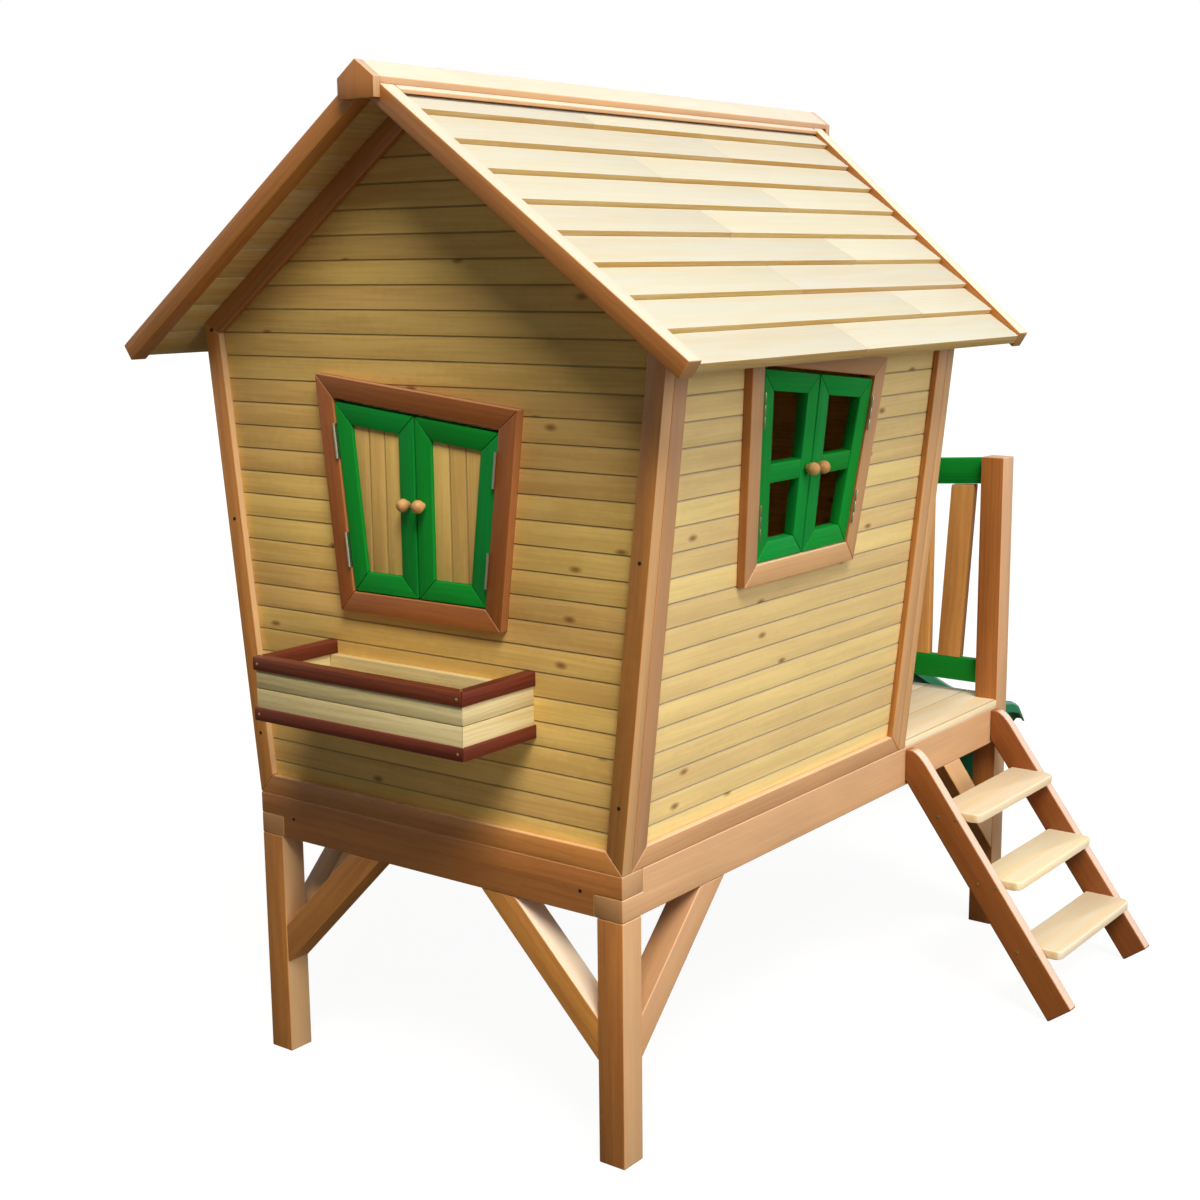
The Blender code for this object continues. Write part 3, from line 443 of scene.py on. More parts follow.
def timber(low, high, place, cuts=(), ease=None):
    """A sawn member along its own X, trimmed by planes in the row frame, with eased arrises."""
    ease = sizes().arris if ease is None else ease
    low, high = Vector(low), Vector(high)
    bpy.ops.object.select_all(action="DESELECT")
    bpy.ops.mesh.primitive_cube_add(size=1.0)
    piece = bpy.context.object
    piece.scale = high - low
    piece.location = (low + high) / 2
    bpy.ops.object.transform_apply()
    piece.matrix_world = place
    bpy.ops.object.transform_apply()
    edit(piece)
    trim(cuts)
    bpy.ops.mesh.select_all(action="SELECT")
    bpy.ops.mesh.bevel(offset=ease, segments=2, affect="EDGES")
    leave_edit()
    turn = place.to_3x3()
    grain(piece, turn.col[0], turn.col[1], ease=ease)
    return piece


def plank(points, low, high, place, ease=None, along=0):
    """A flat member from a four-sided outline; its grain follows the edge that starts at point along."""
    count = len(points)
    flat = [Vector(p) for p in points]
    a, b = flat[along], flat[(along + 1) % count]
    run = (b - a).normalized()
    side = Vector((-run.y, run.x))
    turned = place @ place_of((a.x, a.y, 0), (run.x, run.y, 0), (side.x, side.y, 0))
    reach = [((p - a).dot(run), (p - a).dot(side)) for p in flat]
    corner = (min(r[0] for r in reach), min(r[1] for r in reach), low)
    far = (max(r[0] for r in reach), max(r[1] for r in reach), high)
    cuts = []
    for i in range(count):
        p, q = flat[i], flat[(i + 1) % count]
        edge = (q - p).normalized()
        if abs(edge.dot(run)) > 0.99999:
            continue
        cuts.append((place @ Vector((p.x, p.y, 0)), place.to_3x3() @ Vector((edge.y, -edge.x, 0))))
    return timber(corner, far, turned, cuts, ease)


def mitred(outer, inner, low, high, place, ease=None, skip=(), deep=()):
    """A frame of members that meet in mitres, one along each edge; those in deep are corner stiles."""
    count = len(outer)
    half = sizes().joint / 2
    members = []
    for i in range(count):
        if i in skip:
            continue
        j = (i + 1) % count
        quad = [Vector(outer[i]), Vector(outer[j]), Vector(inner[j]), Vector(inner[i])]
        shy = [0.0, half, 0.0, half]
        base = -PANEL_DEPTH if i in deep else low
        members.append(plank(inset([tuple(p) for p in quad], shy), base, high, place, ease))
    return members


def ease_edges(piece, width):
    """Round every edge that is sharper than 30 degrees."""
    alone(piece)
    bevel = piece.modifiers.new("arris", "BEVEL")
    bevel.width = width
    bevel.segments = 2
    bevel.limit_method = "ANGLE"
    bevel.angle_limit = math.radians(30)
    bpy.ops.object.modifier_apply(modifier=bevel.name)


def solid_copy(node, along=None, across=None, pitch=0.0, ease=None, cuts=(), first=0.0):
    """A workshop copy of a CAD solid: merged, cleared of triangle edges, trimmed, with eased arrises.

    Unless it is told, its grain follows its longest edge.
    """
    ease = sizes().arris if ease is None else ease
    piece = bpy.data.objects.new(node + "_timber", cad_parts[node].data.copy())
    bpy.context.scene.collection.objects.link(piece)
    piece.data.materials.clear()
    edit(piece)
    bpy.ops.mesh.remove_doubles(threshold=0.00001)
    bpy.ops.mesh.dissolve_limited(angle_limit=math.radians(0.4))
    trim(cuts)
    leave_edit()
    if along is None:
        points = piece.data.vertices
        ends = max(((points[a].co, points[b].co) for a, b in (e.vertices for e in piece.data.edges)),
                   key=lambda pair: (pair[0] - pair[1]).length)
        along = ends[1] - ends[0]
    if across is None:
        across = min(((1, 0, 0), (0, 1, 0), (0, 0, 1)),
                     key=lambda axis: abs(Vector(axis).dot(Vector(along).normalized())))
    if ease:
        ease_edges(piece, ease)
    grain(piece, along, across, pitch, ease, first)
    return piece


def finish(name, members, material, body="house", nodes=(), angle=30):
    """Join members into one piece, give it its material, hang it on its body's empty and hide the CAD parts
    it stands for.
    """
    alone(members[0])
    for member in members:
        member.select_set(True)
    if len(members) > 1:
        bpy.ops.object.join()
    piece = bpy.context.object
    piece.name = name
    piece.data.name = name
    piece.data.materials.clear()
    piece.data.materials.append(material)
    alone(piece)
    bpy.ops.object.shade_smooth_by_angle(angle=math.radians(angle))
    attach(piece, body)
    if nodes:
        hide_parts(*nodes)
    return piece


# Materials

def add(tree, kind, inputs=None, **settings):
    """Add one node with its settings, and set or link its inputs."""
    made = tree.nodes.new(kind)
    for key, value in settings.items():
        setattr(made, key, value)
    for key, value in (inputs or {}).items():
        if isinstance(value, bpy.types.NodeSocket):
            tree.links.new(value, made.inputs[key])
        else:
            made.inputs[key].default_value = value
    return made


def new_material(name):
    """A material with its node tree and its shader."""
    material = bpy.data.materials.new(name)
    material.use_nodes = True
    return material, material.node_tree, material.node_tree.nodes["Principled BSDF"]


def rgba(colour, scale=1.0):
    """A colour for a socket, made lighter or darker by a scale."""
    return (*[min(1.0, c * scale) for c in colour], 1.0)


def stretched(tree, vector, scale, detail):
    """Noise stretched along the timber; scale gives waves per metre along, across and through it."""
    mapped = add(tree, "ShaderNodeMapping", {"Vector": vector, "Scale": scale})
    return add(tree, "ShaderNodeTexNoise", {"Vector": mapped.outputs[0], "Scale": 1.0, "Detail": detail})


def wood_material(name, early, late, end, roughness, knots=0.0, contrast=0.7, wear=0.25, tone_range=0.2,
                  gloss=0.25, top=None, under=None):
    """Sawn timber: streaky figure along the grain, faint rings, knots, end grain and rubbed arrises.

    Faces towards the sun are painted lighter towards top, as painted sunlight, and the most sunlit ones
    nearly white, as a painted highlight; faces that look level or down take under, if given, as painted
    shade.
    """
    found = bpy.data.materials.get(name)
    if found:
        return found
    material, tree, shader = new_material(name)
    own = add(tree, "ShaderNodeAttribute", attribute_name="grain").outputs["Vector"]
    marks = [add(tree, "ShaderNodeAttribute", attribute_name=key).outputs["Fac"] for key in FACE_MARKS]
    tone, ends, worn, groove, sky, painted_sunlit = marks
    # Slow wander of the grain: about one wave in 400 mm along and 90 mm across
    wander = stretched(tree, own, (2.5, 11.0, 11.0), 2.0)
    centred = add(tree, "ShaderNodeVectorMath", {0: wander.outputs["Color"], 1: (0.5, 0.5, 0.5)},
                  operation="SUBTRACT")
    bent = add(tree, "ShaderNodeVectorMath", {0: centred.outputs[0], 1: (0.0, 0.02, 0.02), 2: own},
               operation="MULTIPLY_ADD").outputs[0]
    # Bands about 25 mm wide and 600 mm long, streaks about 5 mm wide and 180 mm long
    broad = stretched(tree, bent, (1.6, 40.0, 40.0), 2.0).outputs["Fac"]
    fibre = stretched(tree, bent, (5.5, 200.0, 200.0), 3.0).outputs["Fac"]
    # A ring texture repeats every 0.314 / scale metres
    rings = add(tree, "ShaderNodeTexWave", {"Vector": bent, "Scale": 0.314 / sizes().ring, "Distortion": 2.5,
                "Detail": 2.0, "Detail Scale": 1.5}, wave_type="RINGS", rings_direction="X").outputs["Fac"]
    # The figure adds up bands, streaks and rings, in these shares
    figure = 0.0
    for pattern, share in ((fibre, 0.7), (broad, 0.8), (rings, 0.14)):
        figure = add(tree, "ShaderNodeMath", {0: pattern, 1: share, 2: figure},
                     operation="MULTIPLY_ADD").outputs[0]
    streak = add(tree, "ShaderNodeMapRange", {"Value": figure, "From Min": 0.58, "From Max": 1.08,
                 "To Max": contrast}, interpolation_type="SMOOTHSTEP").outputs[0]
    colour = rgba(early)
    coats = [(streak, rgba(late))]
    # Painted shade: faces that look level or down, such as butts and soffits, take the darker under colour
    if under:
        lower = add(tree, "ShaderNodeMapRange", {"Value": sky, "From Min": 0.2, "From Max": 0.6,
                    "To Min": 1.0, "To Max": 0.0}).outputs[0]
        coats.insert(0, (lower, rgba(under)))
    # Painted sunlight: faces turned to the sun are lightened towards top
    if top:
        # The faces most turned to the sun go further, towards near-white #FFF2EA: a painted highlight
        for low, high, most, tint in ((0.25, 1.05, 0.87, top), (0.8, 1.0, 0.6, linear("#FFF2EA"))):
            painted_light = add(tree, "ShaderNodeMapRange", {"Value": painted_sunlit, "From Min": low, "From Max": high,
                         "To Max": most}).outputs[0]
            coats.append((painted_light, rgba(tint)))
    for cover, tint in coats:
        colour = add(tree, "ShaderNodeMix", {"Factor": cover, 6: colour, 7: tint},
                     data_type="RGBA").outputs[2]
    # Blotches about 150 mm long, where the stain took unevenly
    blotch = stretched(tree, own, (6.0, 22.0, 22.0), 3.0).outputs["Fac"]
    shade = add(tree, "ShaderNodeMath", {0: blotch, 1: tone}, operation="ADD").outputs[0]
    value = add(tree, "ShaderNodeMapRange", {"Value": shade, "From Min": 0.3, "From Max": 1.7,
                "To Min": 1.0 - tone_range, "To Max": 1.0 + tone_range * 0.6}).outputs[0]
    hue = add(tree, "ShaderNodeMapRange", {"Value": tone, "To Min": 0.492, "To Max": 0.504}).outputs[0]
    colour = add(tree, "ShaderNodeHueSaturation", {"Hue": hue, "Value": value, "Color": colour}).outputs[0]
    # Rubbed arrises go lighter and end grain takes its own colour; the grooves between boards take painted
    # shade, late wood at 0.28
    spots = [(worn, wear, rgba(early, 1.4)), (ends, 0.6, rgba(end)), (groove, 0.6, rgba(late, 0.28))]
    if knots:
        # One cell in each 140 x 60 mm of board, of which a share holds a knot about 12 mm across
        cell = add(tree, "ShaderNodeMapping", {"Vector": bent, "Scale": (7.0, 16.0, 1.0)})
        knot = add(tree, "ShaderNodeTexVoronoi", {"Vector": cell.outputs[0], "Scale": 1.0},
                   voronoi_dimensions="2D")
        pick = add(tree, "ShaderNodeSeparateColor", {"Color": knot.outputs["Color"]}).outputs[0]
        chosen = add(tree, "ShaderNodeMath", {0: pick, 1: knots}, operation="LESS_THAN").outputs[0]
        near = add(tree, "ShaderNodeMapRange", {"Value": knot.outputs["Distance"], "From Min": 0.03,
                   "From Max": 0.12, "To Min": 0.75, "To Max": 0.0}).outputs[0]
        spots.insert(0, (near, chosen, rgba(linear("#7C3A12"))))
    for mark, share, tint in spots:
        cover = add(tree, "ShaderNodeMath", {0: mark, 1: share}, operation="MULTIPLY").outputs[0]
        colour = add(tree, "ShaderNodeMix", {"Factor": cover, 6: colour, 7: tint},
                     data_type="RGBA").outputs[2]
    rough = add(tree, "ShaderNodeMapRange", {"Value": fibre, "To Min": roughness - 0.08,
                "To Max": roughness + 0.1}).outputs[0]
    bump = add(tree, "ShaderNodeBump", {"Height": fibre, "Strength": 0.25, "Distance": 0.0006}).outputs[0]
    tree.links.new(colour, shader.inputs["Base Color"])
    tree.links.new(rough, shader.inputs["Roughness"])
    tree.links.new(bump, shader.inputs["Normal"])
    shader.inputs["Specular IOR Level"].default_value = gloss
    return material


def stained_pine():
    """Pine under red-brown stain: satin, with the figure still showing."""
    c = colours()
    # top is painted sunlight: faces turned to the sun are painted paler, and the stain colour itself is its
    # shaded one
    return wood_material("pine_red_brown_stain", c.stain, c.stain_dark, linear("#BE9468"), 0.42, knots=0.03,
                         contrast=0.5, wear=0.3, gloss=0.5, top=linear("#FCE0B4"))


def ladder_pine():
    """Pine in a darker red-brown than the frame, on the ladder's stringers."""
    # top is painted sunlight: faces turned to the sun are painted lighter
    return wood_material("pine_ladder_stain", colours().ladder, linear("#713A16"), linear("#8E5E3A"), 0.42,
                         contrast=0.5, wear=0.2, gloss=0.5, top=linear("#C4824F"))


def shaded_surround_pine():
    """Pine under the red-brown stain, darkened as painted shade, on the shutter window's surround; its top
    colour is painted sunlight.
    """
    return wood_material("pine_surround_painted_shade", colours().surround, linear("#84461C"), linear("#A0724A"),
                         0.42, contrast=0.5, wear=0.2, gloss=0.4, top=linear("#D29A68"))


def light_pine():
    """Pine under one coat of golden stain, on the balusters and the newel."""
    return wood_material("pine_golden_stain", colours().baluster, linear("#CF8C44"), linear("#BE9468"), 0.45,
                         contrast=0.5, wear=0.2)


def clear_spruce():
    """Planed spruce under a clear honey stain: satin, with small knots."""
    c = colours()
    # top is painted sunlight: faces turned to the sun are painted paler
    return wood_material("spruce_clear_stain", c.spruce, c.spruce_dark, linear("#C9A262"), 0.52,
                         knots=0.16, contrast=0.5, tone_range=0.16, top=linear("#F4ECC0"))


def tread_spruce():
    """Planed spruce under a thinner coat, on the deck and the treads: paler and without knots."""
    c = colours()
    return wood_material("spruce_pale_stain", c.tread, c.spruce, linear("#D8B87C"), 0.52,
                         contrast=0.45, tone_range=0.08)


def planter_spruce():
    """Planed spruce under a thin coat that has greyed a little, on the planter."""
    return wood_material("spruce_planter_stain", colours().planter, linear("#BFA468"), linear("#C4AC74"),
                         0.52, knots=0.03, contrast=0.6, tone_range=0.08)


def roof_spruce():
    """Pale sawn spruce: matt and nearly bare, yellower where it is cut across, and darker and yellower as
    painted shade on faces that look level or down, in the laps and under the eaves.
    """
    c = colours()
    # under is painted shade, darker and yellower, on the butts and the soffit
    return wood_material("spruce_roof_boards", c.roof, c.roof_dark, linear("#CDB06E"), 0.6,
                         contrast=0.5, tone_range=0.05, gloss=0.15, under=linear("#C9A055"))


def dark_stain():
    """Pine under dark red stain, on the planter's trims."""
    return wood_material("pine_dark_red_stain", colours().trim, linear("#4A1A0D"), linear("#5A2A1A"), 0.45,
                         wear=0.3)


def green_paint():
    """Brushed alkyd paint over pine: nearly even, arrises a little rubbed."""
    c = colours()
    return wood_material("pine_green_alkyd", c.paint, c.paint_dark, c.paint_dark, 0.5, contrast=0.35,
                         wear=0.15, tone_range=0.1, gloss=0.12)


def beech():
    """Turned beech: fine short flecks, satin."""
    return wood_material("beech_turned", colours().beech, linear("#C08A50"), linear("#B98550"), 0.42,
                         contrast=0.5, tone_range=0.08)


def zinc(name, dull, bright):
    """Zinc-plated steel, clear, yellow or black passivated, with a faint mottle of about 2 mm."""
    material, tree, shader = new_material(name)
    place = add(tree, "ShaderNodeTexCoord").outputs["Object"]
    mottle = add(tree, "ShaderNodeTexNoise", {"Vector": place, "Scale": 500.0, "Detail": 2.0})
    tint = add(tree, "ShaderNodeMix", {"Factor": mottle.outputs["Fac"], 6: rgba(linear(dull)),
               7: rgba(linear(bright))}, data_type="RGBA")
    rough = add(tree, "ShaderNodeMapRange", {"Value": mottle.outputs["Fac"], "To Min": 0.28, "To Max": 0.5})
    tree.links.new(tint.outputs[2], shader.inputs["Base Color"])
    tree.links.new(rough.outputs[0], shader.inputs["Roughness"])
    shader.inputs["Metallic"].default_value = 1.0
    return material


def moulded_hdpe():
    """Rotationally moulded polyethylene: waxy, with a faint orange peel of about 3 mm."""
    material, tree, shader = new_material("moulded_hdpe_green")
    place = add(tree, "ShaderNodeTexCoord").outputs["Object"]
    peel = add(tree, "ShaderNodeTexNoise", {"Vector": place, "Scale": 330.0, "Detail": 1.0})
    scuff = add(tree, "ShaderNodeTexNoise", {"Vector": place, "Scale": 9.0, "Detail": 5.0})
    dull = add(tree, "ShaderNodeMapRange", {"Value": scuff.outputs["Fac"], "From Min": 0.35, "From Max": 0.7,
               "To Min": 0.26, "To Max": 0.42})
    tint = add(tree, "ShaderNodeMix", {"Factor": scuff.outputs["Fac"], 6: rgba(colours().slide, 0.85),
               7: rgba(colours().slide, 1.15)}, data_type="RGBA")
    bump = add(tree, "ShaderNodeBump", {"Height": peel.outputs["Fac"], "Strength": 0.12, "Distance": 0.0004})
    tree.links.new(tint.outputs[2], shader.inputs["Base Color"])
    tree.links.new(dull.outputs[0], shader.inputs["Roughness"])
    tree.links.new(bump.outputs[0], shader.inputs["Normal"])
    return material


# Operators

class PLAYHOUSE_OT_frame(bpy.types.Operator):
    """Legs, porch posts, half-lapped beams and knee braces."""
    bl_idname = "playhouse.frame"
    bl_label = "Legs, beams and braces"

    def execute(self, context):
        names = ["gable_beam", "front_beam", "middle_joist"]
        for side in ("left", "right"):
            names += [f"leg_back_{side}", f"porch_post_{side}", f"side_beam_{side}", f"gable_brace_{side}",
                      f"side_brace_{side}", f"porch_brace_{side}"]
        for node in names:
            finish(f"{node}_timber", [solid_copy(node)], stained_pine(), nodes=[node])
        return {"FINISHED"}


class PLAYHOUSE_OT_floors(bpy.types.Operator):
    """Boarded house floor and porch deck."""
    bl_idname = "playhouse.floors"
    bl_label = "Floors"

    def execute(self, context):
        for node in ("house_floor", "porch_deck"):
            boards = solid_copy(node, (0, 1, 0), (1, 0, 0), DECK_BOARD, FLOOR_EASE)
            finish(f"{node}_boards", [boards], tread_spruce(), nodes=[node])
        return {"FINISHED"}


class PLAYHOUSE_OT_walls(bpy.types.Operator):
    """Tongue-and-groove boards of the four walls."""
    bl_idname = "playhouse.walls"
    bl_label = "Wall boards"

    def execute(self, context):
        stiles = []
        for sign in (-1, 1):
            out = Vector((sign * math.cos(WALL_LEAN), 0, -math.sin(WALL_LEAN)))
            edge = Vector((HOUSE_X + sign * HALF_W, 0, BEAM_TOP))
            stiles.append((edge - out * (BATTEN_W + GAP), out))
        for node, along, up, cuts in (("gable_boards", (1, 0, 0), UP, stiles),
                                      ("front_boards", (-1, 0, 0), UP, stiles),
                                      ("right_boards", (0, 1, 0), LEAN_UP, ()),
                                      ("left_boards", (0, -1, 0), LEAN_BACK, ())):
            boards = solid_copy(node, along, up, BOARD_FACE, CLADDING_EASE, cuts, BOARD_FIRST)
            wall = node.removesuffix("_boards")
            finish(f"{wall}_cladding", [boards], clear_spruce(), nodes=[node])
        return {"FINISHED"}


class PLAYHOUSE_OT_battens(bpy.types.Operator):
    """Mitred battens that frame the walls, and the door casing."""
    bl_idname = "playhouse.battens"
    bl_label = "Wall battens"

    def execute(self, context):
        whole, inner = gable_outline(), gable_outline(BATTEN_W)
        members = mitred(whole, inner, -BATTEN_T, 0, GABLE, deep=STILES)
        finish("gable_batten_frame", members, stained_pine(), nodes=["gable_battens"])
        base = BEAM_TOP + GAP
        door = [(-DOOR_X - DOOR_SILL_HALF, base), (-DOOR_X + DOOR_SILL_HALF, base),
                (-DOOR_X + DOOR_HEAD_HALF, base + DOOR_RIGHT_H),
                (-DOOR_X - DOOR_HEAD_HALF, base + DOOR_LEFT_H)]
        casing = inset(door, [0, -BATTEN_W, -BATTEN_W, -BATTEN_W])
        members = mitred(whole, inner, -BATTEN_T, 0, FRONT, skip=[0], deep=STILES)
        members += mitred(casing, door, -BATTEN_T, 0, FRONT, skip=[0])
        joint = sizes().joint
        (left_low, right_low), (left_high, right_high) = (
            [Vector(p) for p in side_points(casing, z)] for z in (base, inner[0][1]))
        shy = Vector((joint, 0))
        for quad in ([whole[0], left_low - shy, left_high - shy, inner[0]],
                     [right_low + shy, whole[1], inner[1], right_high + shy]):
            members.append(plank([tuple(p) for p in quad], -BATTEN_T, 0, FRONT))
        finish("front_batten_frame", members, stained_pine(), nodes=["front_battens"])
        plain, field = side_outline(), side_outline(BATTEN_W, SIDE_HEAD_W)
        members = mitred(plain, field, -BATTEN_T, 0, RIGHT)
        finish("right_batten_frame", members, stained_pine(), nodes=["right_battens"])
        plain, field = ([(HOUSE_L - a, b) for a, b in points] for points in (plain, field))
        order = (1, 0, 3, 2)
        members = mitred([plain[i] for i in order], [field[i] for i in order], -BATTEN_T, 0, LEFT)
        finish("left_batten_frame", members, stained_pine(), nodes=["left_battens"])
        return {"FINISHED"}


def turned_knob(node, name, body):
    """Knob turned on its own stem: a copy of the CAD knob, rounded by subdivision."""
    piece = solid_copy(node, ease=0.0)
    alone(piece)
    smooth = piece.modifiers.new("round", "SUBSURF")
    smooth.levels = smooth.render_levels = 2
    bpy.ops.object.modifier_apply(modifier=smooth.name)
    finish(name, [piece], beech(), body, [node], 180)


class PLAYHOUSE_OT_shutters(bpy.types.Operator):
    """Crooked shutters with mitred painted frames, boarded panels and knobs, in their surround."""
    bl_idname = "playhouse.shutters"
    bl_label = "Shutter window"

    def execute(self, context):
        opening = window_opening(*GABLE_WINDOW)
        surround = mitred(even_inset(opening, -SURROUND_W), opening, -PANEL_DEPTH, SURROUND_PROUD, GABLE)
        # The gable surround takes the stain darkened as painted shade
        finish("gable_window_surround", surround, shaded_surround_pine(), nodes=["gable_surround"])
        face = SURROUND_PROUD - LEAF_RECESS
        for side, leaf in zip(("left", "right"), leaf_outlines(opening, GABLE_WINDOW[0])):
            body = f"shutter_{side}"
            hole = even_inset(leaf, SHUTTER_STILE)
            members = mitred(leaf, hole, face - LEAF_T, face, GABLE, sizes().paint_arris)
            finish(f"{body}_painted_frame", members, green_paint(), body, [f"{body}_frame"])
            panel = even_inset(hole, GAP)
            left, right = min(p[0] for p in panel), max(p[0] for p in panel)
            pitch = (right - left) / SHUTTER_BOARDS
            boards = solid_copy(f"{body}_panel", UP, (1, 0, 0), pitch, PANEL_EASE)
            finish(f"{body}_boarding", [boards], clear_spruce(), body,
                   [f"{body}_panel"])
            turned_knob(f"{body}_knob", f"{body}_turned_knob", body)
        return {"FINISHED"}


class PLAYHOUSE_OT_casements(bpy.types.Operator):
    """Crooked two-light casements with mitred painted frames, cross rails and knobs."""
    bl_idname = "playhouse.casements"
    bl_label = "Casement window"

    def execute(self, context):
        sill = side_sill()
        opening = window_opening(SIDE_WINDOW[0], sill)
        surround = mitred(even_inset(opening, -SURROUND_W), opening, -PANEL_DEPTH, SURROUND_PROUD, RIGHT)
        finish("side_window_surround", surround, stained_pine(), nodes=["side_surround"])
        face = SURROUND_PROUD - LEAF_RECESS
        for side, leaf in zip(("near", "far"), leaf_outlines(opening, SIDE_WINDOW[0])):
            body = f"casement_{side}"
            light = even_inset(leaf, CASEMENT_STILE)
            members = mitred(leaf, light, face - LEAF_T, face, RIGHT, sizes().paint_arris)
            (a, b), (d, c) = (side_points(light, sill + h) for h in CROSS_RAIL)
            rail = inset([a, b, c, d], [0, sizes().joint, 0, sizes().joint])
            members.append(plank(rail, face - LEAF_T, face - CROSS_RAIL_SHY, RIGHT, sizes().paint_arris))
            finish(f"{body}_painted_frame", members, green_paint(), body, [f"{body}_frame"])
            turned_knob(f"{body}_knob", f"{body}_turned_knob", body)
        return {"FINISHED"}


class PLAYHOUSE_OT_planter(bpy.types.Operator):
    """Planter trough of two boards a side, with mitred trims above and below."""
    bl_idname = "playhouse.planter"
    bl_label = "Planter"

    def execute(self, context):
        back, front, rim = BATTEN_T, -PLANTER_DEPTH, PLANTER_TOP - TRIM_H - GAP
        half, wall = PLANTER_HALF, PLANTER_WALL
        outer = [(-half, front), (half, front), (half, back), (-half, back)]
        joint, ease = sizes().joint, PLANTER_EASE
        seam = (PLANTER_BOTTOM + TRIM_H + rim) / 2
        members = []
        for low, high in ((PLANTER_BOTTOM, seam), (seam + PLANTER_SEAM, rim)):
            members += mitred(outer, even_inset(outer, wall), low, high, LEVEL, ease)
        width = (back - front - 2 * wall) / PLANTER_SLATS
        for slat in range(PLANTER_SLATS):
            y = front + wall + slat * width
            low = (-half + wall + joint, y + joint, PLANTER_BOTTOM)
            high = (half - wall - joint, y + width - joint, PLANTER_BOTTOM + wall)
            members.append(timber(low, high, LEVEL, ease=ease))
        finish("planter_boards", members, planter_spruce(), nodes=["planter_trough"])

        def three_sides(lip, width, low, high):
            """A mitred trim round the front and both ends."""
            rim_out = inset(outer, [-lip, -lip, 0, -lip])
            rim_in = inset(rim_out, [width, width, 0, width])
            return mitred(rim_out, rim_in, low, high, LEVEL, TRIM_EASE, skip=[2])

        members = three_sides(TRIM_LIP, TRIM_W, PLANTER_TOP - TRIM_H, PLANTER_TOP)
        finish("planter_capping", members, dark_stain(), nodes=["planter_top_trim"])
        members = three_sides(TRIM_LIP + GAP, TRIM_LIP, PLANTER_BOTTOM, PLANTER_BOTTOM + TRIM_H)
        finish("planter_plinth", members, dark_stain(), nodes=["planter_bottom_trim"])
        return {"FINISHED"}


class PLAYHOUSE_OT_roof(bpy.types.Operator):
    """Lapped roof boards with staggered butt joints, and the barge boards."""
    bl_idname = "playhouse.roof"
    bl_label = "Roof"

    def execute(self, context):
        course = SLOPE_L / COURSES
        near = NEAR_VERGE + BARGE_T + GAP
        far = FAR_VERGE_RIDGE - BARGE_W - GAP
        joint = sizes().joint
        lengths = sizes().roof_lengths
        for side, sign in (("left", -1), ("right", 1)):
            down = Vector((sign * math.cos(ROOF_PITCH), 0, -math.sin(ROOF_PITCH)))
            slope = place_of((HOUSE_X, GABLE_Y, ROOF_UNDERSIDE), (0, sign, 0), -down)
            verge = Vector((sign * (FAR_VERGE_RIDGE - FAR_VERGE_EAVE) / EAVE_X, 1, 0))
            ridge_cut = (Vector((HOUSE_X + sign * GAP, 0, 0)), Vector((-sign, 0, 0)))
            verge_cut = (Vector((HOUSE_X, GABLE_Y + far, 0)), verge)
            eave_cut = (slope @ Vector((0, -SLOPE_L, EAVE_LIFT)),
                        slope.to_3x3() @ Vector((0, -EAVE_LIFT / course, -1)))
            members = []
            for i in range(COURSES):
                butt = SLOPE_L - i * course
                head = max(butt - course, 0.0)
                pitch_cut = slope @ Vector((0, -butt, COURSE_BUTT))
                rise = (COURSE_BUTT - COURSE_HEAD) / course
                tilt = slope.to_3x3() @ Vector((0, rise, 1))
                stagger = ROOF_STAGGER if i % 2 else -ROOF_STAGGER
                stagger += DRAW.uniform(-STAGGER_PLAY, STAGGER_PLAY)
                butts = [near + (far - near) * (k + stagger) / lengths for k in range(1, lengths)]
                stops = [near, *butts, far]
                for a, b in zip(stops, stops[1:]):
                    ys = sorted((sign * (a + joint), sign * (b - joint if b < far else b)))
                    cuts = [(pitch_cut, tilt), verge_cut]
                    if i == 0:
                        cuts.append(eave_cut)
                    if i == COURSES - 1:
                        cuts.append(ridge_cut)
                    low = (ys[0], -butt, 0.0)
                    high = (ys[1], -head - joint, COURSE_BUTT + ROOF_OVERCUT)
                    members.append(timber(low, high, slope, cuts, ROOF_EASE))
            finish(f"roof_{side}_lapped_boards", members, roof_spruce(),
                   nodes=[f"roof_{side}"])
            for end in ("near", "far"):
                node = f"barge_{end}_{side}"
                finish(f"{node}_board", [solid_copy(node)], stained_pine(), nodes=[node])
        return {"FINISHED"}


